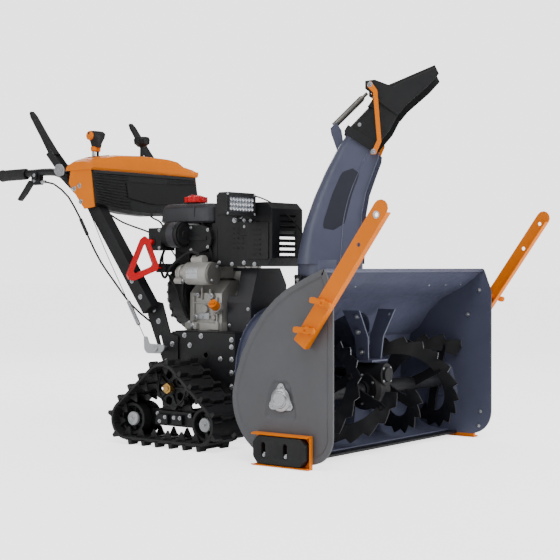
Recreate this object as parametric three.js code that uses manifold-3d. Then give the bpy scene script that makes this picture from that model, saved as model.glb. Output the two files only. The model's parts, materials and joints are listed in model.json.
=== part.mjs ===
// Two-stage tracked snowblower. Millimetres, +Z up, +Y to the operator at the rear, +X to the machine's left.
// The origin is on the ground, under the middle of the machine.
import * as THREE from "three";
import { mergeVertices } from "three/addons/utils/BufferGeometryUtils.js";
import Module from "manifold-3d";

// ---- driving dimensions -------------------------------------------------------------------------
const GAP = 0.35; // air between faces that touch on the real machine
const PLATE_OUT = 435; // outer face of each side plate of the auger housing
const PLATE_T = 6;
const AUGER = { y: -497, z: 181, r: 150 }; // auger axis, which runs along X
const FAN = { z: 226, r: 174 }; // impeller axis, which runs along Y at X = 0
const DRUM_R = 186;
const DRUM_BACK = -142;
const SHEET_T = 3.5;
const CHASSIS = { x: 195, y0: DRUM_BACK + GAP, y1: 114, z0: 125, z1: 341, t: 4 };
const TRACK = { in: 222, out: 360, mid: 285, wheelR: 52, belt: 9, lug: 15, lugs: 18 };
const IDLER_FRONT = { y: -134, z: 76 };
const IDLER_REAR = { y: 158, z: 76 };
const DRIVE = { y: 10, z: 177, r: 68 }; // drive axle and its sprockets
const CHUTE = { x: 15, y: -346, turn: 30, ringZ: 506, ringR: 100 };
const HINGE_LOWER = { s: 62, z: 955 }; // s runs forward from the chute's turning axis
const LINK_FOOT = { s: 138, z: 886 };
const LINK_TOP = { s: 128, z: 1086 };
const COLUMN = { x: 220, foot: [183, 415], head: [492, 835], deep: 44, wide: 40 };
const BAR = { x: 240, r: 12.5, z: 860 }; // handlebar tubes
const LEVER_PIVOT = { y: 552, z: 862 };
const TRIGGER_PIVOT = { y: 715, z: 828 };
const CRANK_Z = 430; // engine shaft, above the impeller shaft
const PULLEY_Y = -100;
const ROPE = { y: 169, z: 540 }; // starter rope, which runs along X
const PULL = { x: -200, turn: 59 }; // root of the starter grip, and the turn of its plane
const DASH_HALF = 254;
const CUTTER = { x: 460, foot: [-586, 343], tip: [-840, 694] };

// ---- solids ---------------------------------------------------------------------------------------
const wasm = await Module();
wasm.setup();

// A closed geometry as a solid, turned face-out if its winding came out reversed.
function solid(geometry) {
  const bare = geometry.index ? geometry.toNonIndexed() : geometry.clone();
  const plain = new THREE.BufferGeometry().setAttribute("position", bare.getAttribute("position"));
  const merged = mergeVertices(plain, 1e-3);
  const build = (index) =>
    new wasm.Manifold(
      new wasm.Mesh({
        numProp: 3,
        vertProperties: new Float32Array(merged.attributes.position.array),
        triVerts: new Uint32Array(index),
      }),
    );
  const index = Array.from(merged.index.array);
  const made = build(index);
  return made.volume() < 0 ? build(index.reverse()) : made;
}

const join = (...parts) => parts.flat().reduce((a, b) => a.add(b));
const cut = (body, ...tools) => tools.flat().reduce((a, b) => a.subtract(b), body);

function geometryOf(body) {
  const mesh = body.getMesh();
  return new THREE.BufferGeometry()
    .setAttribute("position", new THREE.BufferAttribute(new Float32Array(mesh.vertProperties), 3))
    .setIndex(new THREE.BufferAttribute(new Uint32Array(mesh.triVerts), 1));
}

// ---- shapes ---------------------------------------------------------------------------------------
const box = (x0, x1, y0, y1, z0, z1) =>
  solid(
    new THREE.BoxGeometry(x1 - x0, y1 - y0, z1 - z0).translate(
      (x0 + x1) / 2,
      (y0 + y1) / 2,
      (z0 + z1) / 2,
    ),
  );

// A shape from its outline, always anticlockwise, so that a hole may run either way.
function shapeOf(outline) {
  if (outline instanceof THREE.Shape) return outline;
  const points = outline.map(([a, b]) => new THREE.Vector2(a, b));
  if (THREE.ShapeUtils.isClockWise(points)) points.reverse();
  return new THREE.Shape(points);
}

const holeOf = (outline) => new THREE.Path(outline.map(([a, b]) => new THREE.Vector2(a, b)));

function extruded(outline, depth, segments) {
  return new THREE.ExtrudeGeometry(shapeOf(outline), { depth, bevelEnabled: false, curveSegments: segments });
}

// An outline drawn in (Y, Z), between two X planes.
const alongX = (outline, x0, x1, segments = 10) =>
  solid(
    extruded(outline, x1 - x0, segments).applyMatrix4(
      new THREE.Matrix4().set(0, 0, 1, x0, 1, 0, 0, 0, 0, 1, 0, 0, 0, 0, 0, 1),
    ),
  );

// An outline drawn in (X, Z), between two Y planes.
const alongY = (outline, y0, y1, segments = 10) =>
  solid(extruded(outline, y1 - y0, segments).rotateX(Math.PI / 2).translate(0, y1, 0));

// An outline drawn in (X, Y), between two Z planes.
const alongZ = (outline, z0, z1, segments = 10) =>
  solid(extruded(outline, z1 - z0, segments).translate(0, 0, z0));

// A rod between two points.
function rod(a, b, radius, sides = 16) {
  const from = new THREE.Vector3(...a);
  const to = new THREE.Vector3(...b);
  const along = to.clone().sub(from);
  const turn = new THREE.Quaternion().setFromUnitVectors(
    new THREE.Vector3(0, 1, 0),
    along.clone().normalize(),
  );
  const middle = from.add(to).multiplyScalar(0.5);
  return solid(
    new THREE.CylinderGeometry(radius, radius, along.length(), sides)
      .applyQuaternion(turn)
      .translate(middle.x, middle.y, middle.z),
  );
}

const rodX = (x0, x1, y, z, r, sides) => rod([x0, y, z], [x1, y, z], r, sides);
const rodY = (y0, y1, x, z, r, sides) => rod([x, y0, z], [x, y1, z], r, sides);
const rodZ = (z0, z1, x, y, r, sides) => rod([x, y, z0], [x, y, z1], r, sides);

// A turned body: (radius, distance) pairs that start and end on the axis, about X, Y or Z.
function turned(profile, axis, at, sides = 24) {
  const made = new THREE.LatheGeometry(
    profile.map(([r, h]) => new THREE.Vector2(r, h)),
    sides,
  );
  if (axis === "x") made.rotateZ(-Math.PI / 2);
  if (axis === "z") made.rotateX(Math.PI / 2);
  return solid(made.translate(...at));
}

// A bar of one section along a smooth or straight-sided path.
function swept(points, radius, { sides = 10, steps = 40, smooth = 0.5 } = {}) {
  const path = new THREE.CatmullRomCurve3(
    points.map((p) => new THREE.Vector3(...p)),
    false,
    "catmullrom",
    smooth,
  );
  const section = new THREE.Shape();
  section.absarc(0, 0, radius, 0, 2 * Math.PI);
  return solid(
    new THREE.ExtrudeGeometry(section, { steps, extrudePath: path, curveSegments: sides / 2 }),
  );
}

// A closed body through rings of equal count, with flat ends.
function lofted(rings) {
  const count = rings[0].length;
  const points = rings.flat();
  const index = [];
  for (let r = 0; r + 1 < rings.length; r++)
    for (let i = 0; i < count; i++) {
      const j = (i + 1) % count;
      const [a, b, c, d] = [r * count + i, r * count + j, (r + 1) * count + j, (r + 1) * count + i];
      index.push(a, b, c, a, c, d);
    }
  for (const [first, flip] of [
    [0, true],
    [(rings.length - 1) * count, false],
  ]) {
    const ring = points.slice(first, first + count);
    const centre = [0, 1, 2].map((k) => ring.reduce((sum, p) => sum + p[k], 0) / count);
    points.push(centre);
    for (let i = 0; i < count; i++) {
      const pair = [first + i, first + ((i + 1) % count)];
      index.push(points.length - 1, ...(flip ? pair.reverse() : pair));
    }
  }
  return fromIndex(points, index);
}

// A bent sheet between two grids of points: its outer face and its inner face.
function sheet(outer, inner) {
  const rows = outer.length;
  const cols = outer[0].length;
  const points = [...outer.flat(), ...inner.flat()];
  const at = (face, r, c) => face * rows * cols + r * cols + c;
  const index = [];
  const quad = (a, b, c, d) => index.push(a, b, c, a, c, d);
  for (let r = 0; r + 1 < rows; r++)
    for (let c = 0; c + 1 < cols; c++) {
      quad(at(0, r, c), at(0, r, c + 1), at(0, r + 1, c + 1), at(0, r + 1, c));
      quad(at(1, r, c), at(1, r + 1, c), at(1, r + 1, c + 1), at(1, r, c + 1));
    }
  for (let r = 0; r + 1 < rows; r++) {
    quad(at(0, r, 0), at(0, r + 1, 0), at(1, r + 1, 0), at(1, r, 0));
    quad(at(0, r, cols - 1), at(1, r, cols - 1), at(1, r + 1, cols - 1), at(0, r + 1, cols - 1));
  }
  for (let c = 0; c + 1 < cols; c++) {
    quad(at(0, 0, c), at(1, 0, c), at(1, 0, c + 1), at(0, 0, c + 1));
    quad(at(0, rows - 1, c), at(0, rows - 1, c + 1), at(1, rows - 1, c + 1), at(1, rows - 1, c));
  }
  return fromIndex(points, index);
}

function fromIndex(points, index) {
  const made = new THREE.BufferGeometry()
    .setAttribute("position", new THREE.Float32BufferAttribute(points.flat(), 3))
    .setIndex(index);
  return solid(made);
}

// Points of an arc, in degrees.
function arc(cy, cz, r, from, to, steps) {
  return Array.from({ length: steps + 1 }, (_, i) => {
    const a = THREE.MathUtils.degToRad(from + ((to - from) * i) / steps);
    return [cy + r * Math.cos(a), cz + r * Math.sin(a)];
  });
}

// A polyline moved sideways by a distance, to the left of its direction.
function offset(points, distance, closed = false) {
  const n = points.length;
  return points.map((p, i) => {
    const before = points[closed ? (i + n - 1) % n : Math.max(i - 1, 0)];
    const after = points[closed ? (i + 1) % n : Math.min(i + 1, n - 1)];
    const d1 = unit([p[0] - before[0], p[1] - before[1]]);
    const d2 = unit([after[0] - p[0], after[1] - p[1]]);
    const first = d1 || d2;
    const second = d2 || d1;
    const normal = unit([-(first[1] + second[1]), first[0] + second[0]]);
    const spread = Math.max(0.5, normal[0] * -first[1] + normal[1] * first[0]);
    return [p[0] + (normal[0] * distance) / spread, p[1] + (normal[1] * distance) / spread];
  });
}

function unit([a, b]) {
  const size = Math.hypot(a, b);
  return size < 1e-6 ? null : [a / size, b / size];
}

// The outline that wraps round circles, given as (y, z, r) in order.
function wrapped(circles, grow, steps = 8) {
  const points = [];
  circles.forEach(([y, z, r], i) => {
    const [py, pz] = circles[(i + circles.length - 1) % circles.length];
    const [ny, nz] = circles[(i + 1) % circles.length];
    const pr = circles[(i + circles.length - 1) % circles.length][2];
    const nr = circles[(i + 1) % circles.length][2];
    const start = tangentAngle(y - py, z - pz, pr, r);
    let end = tangentAngle(ny - y, nz - z, r, nr);
    while (end < start) end += 2 * Math.PI;
    for (let k = 0; k <= steps; k++) {
      const a = start + ((end - start) * k) / steps;
      points.push([y + (r + grow) * Math.cos(a), z + (r + grow) * Math.sin(a)]);
    }
  });
  return points;
}

function tangentAngle(dy, dz, r0, r1) {
  return Math.atan2(dz, dy) - Math.PI / 2 - Math.asin((r1 - r0) / Math.hypot(dy, dz));
}

// ---- materials and nodes ----------------------------------------------------------------------------
const paint = (color, roughness, metalness) =>
  new THREE.MeshStandardMaterial({ color, roughness, metalness });
const finish = {
  plateGrey: () => paint(0x5c5e62, 0.55, 0.35),
  blueGrey: () => paint(0x4a4f63, 0.42, 0.4),
  orange: () => paint(0xe08600, 0.42, 0.1),
  blackSteel: () => paint(0x17181a, 0.5, 0.3),
  blackPlastic: () => paint(0x1d1e20, 0.6, 0),
  greyPlastic: () => paint(0x45474b, 0.6, 0),
  rubber: () => paint(0x141517, 0.85, 0),
  castAlloy: () => paint(0x8e8b80, 0.55, 0.6),
  steel: () => paint(0xb8bbbd, 0.35, 0.9),
  red: () => paint(0xc01018, 0.4, 0),
};

const machine = new THREE.Group();

function node(name, body, material, parent = machine) {
  const mesh = new THREE.Mesh(geometryOf(body), material);
  mesh.name = name;
  parent.add(mesh);
  return mesh;
}

// A piece made on the machine's left, and its mirror image on the right.
function pair(name, body, material) {
  node(name + "_left", body, material());
  node(name + "_right", body, material()).scale.x = -1;
}

// ---- auger housing ------------------------------------------------------------------------------------
const plateOutline = [
  [-674, 90],
  [-674, 467],
  [-646, 540],
  [-599, 521],
  [-566, 506],
  [-520, 484],
  [-480, 456],
  [-440, 420],
  [-394, 360],
  [-362, 300],
  [-342, 245],
  ...arc(AUGER.y, AUGER.z, 168, 4, -86, 9),
  [-600, 13],
  ...arc(-600, 87, 74, -100, -170, 4),
];

// The bent sheet's outer face, from the front lip back over the auger and down to the scraper.
const sheetOutside = [
  [-645, 538],
  [-604, 504],
  [-566, 478],
  [-524, 460],
  [-485, 439],
  [-447, 404],
  ...arc(AUGER.y, AUGER.z, 190, 61, 50, 1),
  ...arc(AUGER.y, AUGER.z, 170, 37, 24, 1),
  ...arc(AUGER.y, AUGER.z, 164, 10, -98, 9),
];

function housingCutter(grow) {
  const line = offset(sheetOutside, grow);
  return alongX([...line, [-820, line.at(-1)[1]], [-820, 538]], -460, 460);
}

function augerHousing() {
  const inside = offset(sheetOutside, -SHEET_T);
  const half = PLATE_OUT - PLATE_T - GAP;
  const shell = alongX([...sheetOutside, ...inside.reverse()], -half, half);
  const lip = alongX([[-646, 528], [-646, 538.2], [-634, 538.2], [-634, 528]], -half, half);
  const fanHole = rodY(-462, -250, 0, FAN.z, DRUM_R - SHEET_T, 28);
  return cut(join(shell, lip), fanHole);
}

function sidePlate() {
  const rim = offset(plateOutline, -22, true);
  const outside = shapeOf(plateOutline);
  const ring = shapeOf(plateOutline);
  ring.holes.push(holeOf(rim));
  const flat = alongX(outside, PLATE_OUT - PLATE_T, PLATE_OUT - 2.4);
  const raised = alongX(ring, PLATE_OUT - 2.8, PLATE_OUT);
  const boss = rodX(PLATE_OUT - 3, PLATE_OUT + 8, AUGER.y, AUGER.z, 34, 20);
  return cut(join(flat, raised, boss), rodX(420, 450, AUGER.y, AUGER.z, 13.4, 20));
}

function impellerDrum() {
  const can = rodY(-470, DRUM_BACK, 0, FAN.z, DRUM_R, 28);
  const flange = rodY(DRUM_BACK - 4, DRUM_BACK, 0, FAN.z, DRUM_R + 10, 28);
  const neck = rodZ(FAN.z + 60, CHUTE.ringZ - 6, CHUTE.x, CHUTE.y, 93, 20);
  const collar = rodZ(CHUTE.ringZ - 10, CHUTE.ringZ - 4, CHUTE.x, CHUTE.y, 103, 20);
  const bore = rodY(-480, DRUM_BACK - 4, 0, FAN.z, DRUM_R - SHEET_T, 28);
  const throat = rodZ(FAN.z + 60, CHUTE.ringZ + 10, CHUTE.x, CHUTE.y, 89, 20);
  const shaftHole = rodY(-200, -100, 0, FAN.z, 14, 16);
  return cut(join(can, flange, neck, collar), bore, throat, shaftHole, housingCutter(GAP));
}

const scraperBar = () => box(-427, 427, -552, -503, 10.5, 18);

// Two bent struts from the housing's roof, joined by a foot that holds the gearbox.
function gearboxSupport() {
  const foot = box(-42, 42, -538, -458, AUGER.z + 82, AUGER.z + 88);
  const pad = box(-30, 30, -512, -484, AUGER.z + 79, AUGER.z + 84);
  const strut = (side) => {
    const ring = (x, half, z) => [
      [side * x - 3, -500 - half, z],
      [side * x + 3, -500 - half, z],
      [side * x + 3, -500 + half, z],
      [side * x - 3, -500 + half, z],
    ];
    return lofted([ring(33, 20, AUGER.z + 84), ring(41, 24, AUGER.z + AUGER.r + 4), ring(96, 30, 416)]);
  };
  return join(foot, pad, strut(-1), strut(1));
}

function augerGearbox() {
  const wheelCase = turned(
    [[0, -34], [50, -34], [62, -24], [62, 24], [50, 34], [0, 34]],
    "x",
    [0, AUGER.y, AUGER.z],
    24,
  );
  const wormCase = rodY(-562, -446, 0, FAN.z, 33, 20);
  const cap = rodY(-570, -560, 0, FAN.z, 22, 16);
  const hubs = rodX(-44, 44, AUGER.y, AUGER.z, 26, 20);
  const bores = [rodX(-60, 60, AUGER.y, AUGER.z, 14, 16), rodY(-470, -440, 0, FAN.z, 13.5, 16)];
  return cut(join(wheelCase, wormCase, cap, hubs), bores);
}

// One half of the auger: a tube, and two toothed ribbons that wind along it on struts.
function augerHalf() {
  const from = 52;
  const to = 418;
  const turns = 0.85;
  const steps = 18;
  const tube = rodX(from - 4, to + 4, AUGER.y, AUGER.z, 22, 12);
  const bore = rodX(from - 20, to + 20, AUGER.y, AUGER.z, 13.4, 10);
  const parts = [tube];
  for (const start of [0, Math.PI]) {
    const outer = [];
    const inner = [];
    for (let i = 0; i <= steps; i++) {
      const a = start + (turns * 2 * Math.PI * i) / steps;
      const x = from + ((to - from) * i) / steps;
      const reach = i % 2 ? AUGER.r - 13 : AUGER.r;
      const spot = (r, dx) => [x + dx, AUGER.y + r * Math.cos(a), AUGER.z + r * Math.sin(a)];
      outer.push([spot(reach, -3), spot(96, -3)]);
      inner.push([spot(reach, 3), spot(96, 3)]);
    }
    parts.push(sheet(outer, inner));
    for (const at of [0.08, 0.5, 0.92]) {
      const a = start + turns * 2 * Math.PI * at;
      const x = from + (to - from) * at;
      const spot = (r) => [x, AUGER.y + r * Math.cos(a), AUGER.z + r * Math.sin(a)];
      parts.push(rod(spot(15), spot(112), 9, 6));
    }
  }
  return cut(join(parts), bore);
}

const augerShaft = () => rodX(-433, 433, AUGER.y, AUGER.z, 12.5, 16);

function impeller() {
  const shaft = rodY(-444, -52, 0, FAN.z, 12.5, 16);
  const hub = rodY(-318, -186, 0, FAN.z, 34, 20);
  const blades = [0, 1, 2, 3].map((k) => {
    const a = (k * Math.PI) / 2 + 0.4;
    const c = Math.cos(a);
    const s = Math.sin(a);
    const to = (u, v) => [u * c - v * s, FAN.z + u * s + v * c];
    const outline = [to(20, -3), to(150, -3), to(FAN.r - 2, -22), to(FAN.r, -17), to(153, 3), to(20, 3)];
    return alongY(outline, -322, -182);
  });
  const pulley = groovedPulley(90, FAN.z);
  return join(shaft, hub, blades, pulley);
}

// A V-belt pulley about the Y axis, with its belt seat 10 mm under its rim.
function groovedPulley(seat, z) {
  const rim = seat + 6;
  return turned(
    [[0, -12], [rim, -12], [rim, -9], [seat - 2, -4], [seat - 2, 4], [rim, 9], [rim, 12], [0, 12]],
    "y",
    [0, PULLEY_Y, z],
    28,
  );
}

function driveBelt() {
  const outline = wrapped([[0, FAN.z, 90], [0, CRANK_Z, 38]], 6.5, 12);
  const hollow = wrapped([[0, FAN.z, 90], [0, CRANK_Z, 38]], 0.5, 12);
  const ring = shapeOf(outline);
  ring.holes.push(holeOf(hollow));
  return alongY(ring, PULLEY_Y - 3.4, PULLEY_Y + 3.4);
}

const enginePulley = () =>
  join(groovedPulley(38, CRANK_Z), rodY(-117, -30, 0, CRANK_Z, 12, 12));

// ---- chassis and tracks ---------------------------------------------------------------------------------
function chassisFrame() {
  const { x, y0, y1, z0, z1, t } = CHASSIS;
  const tub = cut(box(-x, x, y0, y1, z0, z1), box(-x + t, x - t, y0 + t, y1 - t, z0 - 5, z1 - t));
  const ears = [-1, 1].map((side) =>
    box(Math.min(side * 60, side * 130), Math.max(side * 60, side * 130), y1 - 2, y1 + 12, z1 - 60, z1 - 8),
  );
  const tools = [
    rodY(y0 - 5, y0 + 10, 0, FAN.z, 14, 16),
    rodX(-220, 220, DRIVE.y, DRIVE.z, 15, 16),
    box(-84, 84, PULLEY_Y - 22, PULLEY_Y + 22, z1 - 8, z1 + 5),
    rodX(-220, 220, -27, 272, 9, 12),
  ];
  return cut(join(tub, ears), tools);
}

function trackCircles() {
  return [
    [IDLER_FRONT.y, IDLER_FRONT.z, TRACK.wheelR],
    [IDLER_REAR.y, IDLER_REAR.z, TRACK.wheelR],
    [DRIVE.y, DRIVE.z, DRIVE.r],
  ];
}

function trackBelt() {
  const outline = wrapped(trackCircles(), TRACK.belt);
  const ring = shapeOf(outline);
  ring.holes.push(holeOf(wrapped(trackCircles(), 0)));
  const band = alongX(ring, TRACK.in, TRACK.out);
  const loop = new THREE.CurvePath();
  outline.forEach(([y, z], i) => {
    const [ny, nz] = outline[(i + 1) % outline.length];
    loop.add(new THREE.LineCurve(new THREE.Vector2(y, z), new THREE.Vector2(ny, nz)));
  });
  const lugs = Array.from({ length: TRACK.lugs }, (_, i) => {
    const t = (i + 0.35) / TRACK.lugs;
    const at = loop.getPointAt(t);
    const along = loop.getPointAt((t + 0.002) % 1).sub(loop.getPointAt((t + 0.998) % 1)).normalize();
    const out = [along.y, -along.x];
    const spot = (u, v) => [at.x + along.x * u + out[0] * v, at.y + along.y * u + out[1] * v];
    const bar = [spot(-13, -4), spot(13, -4), spot(8, TRACK.lug), spot(-8, TRACK.lug)];
    return alongX(bar, TRACK.in, TRACK.out);
  });
  const ground = box(TRACK.in - 5, TRACK.out + 5, -300, 300, -40, 0);
  return cut(join(band, lugs), ground);
}

// One frame for both tracks: a plate in the middle of each belt, and the tube across that joins them.
function trackFrame() {
  const plate = (side) => {
    const x0 = side * TRACK.mid - 4;
    const x1 = side * TRACK.mid + 4;
    const beam = alongX(
      [
        [IDLER_FRONT.y - 26, 58],
        [IDLER_REAR.y + 26, 58],
        [IDLER_REAR.y + 26, 98],
        [70, 112],
        [34, 205],
        [-14, 205],
        [-52, 112],
        [IDLER_FRONT.y - 26, 98],
      ],
      x0,
      x1,
    );
    const holes = [
      rodX(x0 - 2, x1 + 2, IDLER_FRONT.y, IDLER_FRONT.z, 17, 16),
      rodX(x0 - 2, x1 + 2, IDLER_REAR.y, IDLER_REAR.z, 17, 16),
      rodX(x0 - 2, x1 + 2, DRIVE.y, DRIVE.z, 22, 16),
    ];
    return cut(beam, holes);
  };
  const tubeZ = 88;
  const tube = rodX(-TRACK.mid, TRACK.mid, 20, tubeZ, 17, 16);
  const cover = (side) =>
    alongX([[-70, 62], [84, 62], [78, 106], [-64, 106]], side * TRACK.mid - 20, side * TRACK.mid + 20);
  return join(plate(-1), plate(1), cover(-1), cover(1), tube);
}

// Two discs on one hub, which turns in the frame plate between them.
function idler(at) {
  const r = TRACK.wheelR - 1.4;
  const inner = TRACK.mid - 38;
  const outer = TRACK.mid + 42;
  return turned(
    [
      [0, inner], [r, inner], [r, TRACK.mid - 8], [15, TRACK.mid - 8], [15, TRACK.mid + 8],
      [r, TRACK.mid + 8], [r, outer], [r - 10, outer], [r - 14, outer - 22], [24, outer - 24],
      [22, outer - 10], [0, outer - 10],
    ],
    "x",
    [0, at.y, at.z],
    20,
  );
}

// Two toothed discs with windows, on one hub that turns in the frame plate between them.
function sprocket() {
  const teeth = 10;
  const rim = [];
  for (let i = 0; i < teeth; i++)
    for (const [f, r] of [
      [0, DRIVE.r - 9],
      [0.22, DRIVE.r - 0.9],
      [0.5, DRIVE.r - 0.9],
      [0.72, DRIVE.r - 9],
    ]) {
      const a = ((i + f) * 2 * Math.PI) / teeth;
      rim.push([DRIVE.y + r * Math.cos(a), DRIVE.z + r * Math.sin(a)]);
    }
  const disc = (x0, x1) => {
    const windows = Array.from({ length: 5 }, (_, i) => {
      const a = (i * 2 * Math.PI) / 5;
      return rodX(x0 - 5, x1 + 5, DRIVE.y + 41 * Math.cos(a), DRIVE.z + 41 * Math.sin(a), 14, 6);
    });
    return cut(alongX(rim, x0, x1), windows);
  };
  const hub = rodX(TRACK.mid - 34, TRACK.mid + 34, DRIVE.y, DRIVE.z, 20, 20);
  const discs = [disc(TRACK.mid - 24, TRACK.mid - 12), disc(TRACK.mid + 12, TRACK.mid + 24)];
  return cut(join(discs, hub), rodX(200, 400, DRIVE.y, DRIVE.z, 13.8, 16));
}

const driveAxle = () => rodX(-332, 332, DRIVE.y, DRIVE.z, 13.4, 16);

// ---- skid shoes and drift cutters -------------------------------------------------------------------------
function skidShoe() {
  const [x0, x1] = [PLATE_OUT + GAP, 462];
  const round = (inset) => [
    ...arc(-430 - inset, 12 + inset, 12, -90, 0, 3),
    ...arc(-430 - inset, 79 - inset, 12, 0, 90, 3),
    ...arc(-597 + inset, 79 - inset, 12, 90, 180, 3),
    ...arc(-597 + inset, 12 + inset, 12, 180, 270, 3),
  ];
  const shell = alongX(round(0), x0, x1);
  const pocket = alongX(round(6), x0 + 4, x1 + 2);
  const block = alongX(round(5), x0 + 2, x1 - 5);
  const slots = [-462, -536].map((y) =>
    alongX([...arc(y, 60, 7, 0, 180, 5), ...arc(y, 30, 7, 180, 360, 5)], x0 - 5, x1 + 5),
  );
  return cut(join(cut(shell, pocket), block), slots);
}

// An angle bar that stands off the side plate on two bolts.
function driftCutter() {
  const [y0, z0] = CUTTER.foot;
  const [y1, z1] = CUTTER.tip;
  const length = Math.hypot(y1 - y0, z1 - z0);
  const u = [(y1 - y0) / length, (z1 - z0) / length];
  const v = [-u[1], u[0]]; // towards the front edge
  const spot = (a, b) => [y0 + u[0] * a + v[0] * b, z0 + u[1] * a + v[1] * b];
  const half = 22;
  const end = Array.from({ length: 7 }, (_, i) => {
    const a = (i * Math.PI) / 6;
    return spot(length + half * Math.sin(a), -half * Math.cos(a));
  });
  const face = alongX([spot(-8, -half), ...end, spot(-8, half)], CUTTER.x - 3, CUTTER.x);
  const flange = alongX(
    [spot(-8, half - 3), spot(length, half - 3), spot(length, half), spot(-8, half)],
    PLATE_OUT + 3,
    CUTTER.x - 1,
  );
  const holes = [412, 318].map((a) => {
    const [y, z] = spot(a, 0);
    return rodX(CUTTER.x - 20, CUTTER.x + 20, y, z, 6, 12);
  });
  const stands = [0.09, 0.3].map((f) => {
    const [y, z] = spot(length * f, 0);
    return rodX(PLATE_OUT + GAP, CUTTER.x - 1, y, z, 9, 12);
  });
  return cut(join(face, flange, stands), holes);
}

// ---- chute ------------------------------------------------------------------------------------------------
// Sections are (s, x): s forward from the back of the chute to its open front.
function channel(back, front, half, corner, inset) {
  const span = Math.hypot(front[0] - back[0], front[1] - back[1]);
  const dir = [(front[0] - back[0]) / span, (front[1] - back[1]) / span];
  const w = half - inset;
  const points = [[span, -w]];
  for (let i = 0; i <= 5; i++) {
    const a = Math.PI / 2 + (i * Math.PI) / 10;
    const r = corner - inset;
    points.push([corner + r * Math.cos(a), -half + corner - r * Math.sin(a)]);
  }
  for (let i = 5; i >= 0; i--) {
    const a = Math.PI / 2 + (i * Math.PI) / 10;
    const r = corner - inset;
    points.push([corner + r * Math.cos(a), half - corner + r * Math.sin(a)]);
  }
  points.push([span, w]);
  // s is forward, so it runs to -Y
  return points.map(([t, x]) => [x, -(back[0] + dir[0] * t), back[1] + dir[1] * t]);
}

function channelSheet(stations, thickness) {
  const rows = (inset) => stations.map(([b, f, half, corner]) => channel(b, f, half, corner, inset));
  return sheet(rows(0), rows(thickness));
}

function chuteBody() {
  const { ringZ, ringR } = CHUTE;
  const ring = cut(
    rodZ(ringZ, ringZ + 58, 0, 0, ringR, 24),
    rodZ(ringZ - 5, ringZ + 70, 0, 0, ringR - 5, 24),
  );
  const flange = cut(
    rodZ(ringZ - 3, ringZ + 5, 0, 0, ringR + 9, 24),
    rodZ(ringZ - 9, ringZ + 9, 0, 0, ringR - 5, 24),
  );
  const trough = channelSheet(
    [
      [[-99, 552], [98, 552], 96, 60],
      [[-90, 600], [101, 640], 93, 56],
      [[-77, 662], [104, 704], 90, 52],
      [[-45, 752], [115, 764], 86, 46],
      [[-11, 828], [134, 818], 83, 40],
      [[30, 905], [152, 866], 81, 34],
      [[60, 948], [154, 884], 80, 30],
    ],
    3,
  );
  const post = alongX([[-42, 908], [-24, 893], [-4, 950], [-2, 966], [-20, 984], [-34, 962]], -13, 13);
  const hinge = rodX(-70, 70, -HINGE_LOWER.s + 9, HINGE_LOWER.z + 2, 5, 10);
  return join(ring, flange, trough, post).subtract(hinge);
}

function deflectorLower() {
  return channelSheet(
    [
      [[60, 959], [146, 903], 85.5, 30],
      [[97, 997], [186, 950], 86, 30],
      [[128, 1029], [212, 1000], 86.5, 30],
    ],
    3,
  );
}

function deflectorUpper() {
  const trough = channelSheet(
    [
      [[131, 1052], [210, 994], 91, 30],
      [[156, 1080], [233, 1022], 91, 30],
      [[190, 1092], [300, 1080], 91, 30],
      [[319, 1143], [332, 1115], 91, 12],
    ],
    3,
  );
  const ear = (side) =>
    alongX(
      [[113, 1098], [113, 1074], [150, 1048], [206, 1042], [206, 1076], [142, 1101]].map(([s, z]) => [-s, z]),
      side * 89 - 2,
      side * 89 + 2,
    );
  const pinHole = rodX(-100, 100, -LINK_TOP.s, LINK_TOP.z, 9, 12);
  return cut(join(trough, ear(1), ear(-1)), pinHole);
}

// The two orange arms, joined by the rod that the spring pulls on.
function deflectorLink() {
  const outline = (x0, x1) => {
    const left = [
      [LINK_FOOT.s - 8, LINK_FOOT.z - 8],
      [LINK_FOOT.s + 8, LINK_FOOT.z - 8],
      [162, 916],
      [150, 1068],
      [LINK_TOP.s + 4, LINK_TOP.z + 9],
      [LINK_TOP.s - 9, LINK_TOP.z + 2],
      [LINK_TOP.s - 6, LINK_TOP.z - 9],
      [137, 1062],
      [149, 920],
    ];
    return alongX(left.map(([s, z]) => [-s, z]), x0, x1);
  };
  const arms = [outline(94, 98), outline(-98, -94)];
  const rodTop = rodX(-97, 97, -LINK_TOP.s, LINK_TOP.z, 5, 10);
  const studs = [[-97, -82.5], [82.5, 97]].map(([x0, x1]) =>
    rodX(x0, x1, -LINK_FOOT.s, LINK_FOOT.z, 6, 12),
  );
  return join(arms, rodTop, studs);
}

// ---- engine ---------------------------------------------------------------------------------------------
function crankcase() {
  const base = box(-118, 118, -24, 122, 341 + GAP, 368);
  const block = alongY([[-104, 366], [104, 366], [104, 470], [70, 500], [-60, 500], [-104, 460]], -14, 118);
  const nose = rodY(-30, -12, 0, CRANK_Z, 46, 20);
  const filler = rod([-100, -5, 405], [-124, -8, 418], 12, 12);
  const deck = alongY(slab(10, 58.5, 50), 12, 110);
  const bore = rodY(-60, -18, 0, CRANK_Z, 12.6, 12);
  return cut(join(base, block, deck, nose, filler), bore);
}

// A finned barrel and head, leaning to the machine's left.
function cylinderHead() {
  const fins = Array.from({ length: 5 }, (_, i) => alongY(slab(68 + i * 17, 75 + i * 17, 60), 12, 112));
  const barrel = alongY(slab(59, 150, 46), 16, 104);
  const head = alongY(slab(146, 172, 56), 12, 108);
  return join(barrel, head, fins);
}

// A slice of the leaning barrel in (X, Z), between two distances along it.
function slab(from, to, half) {
  const a = THREE.MathUtils.degToRad(62);
  const [c, s] = [Math.cos(a), Math.sin(a)];
  const at = (u, v) => [26 + u * c - v * s, 476 + u * s + v * c];
  return [at(from, -half), at(to, -half), at(to, half), at(from, half)];
}

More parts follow.
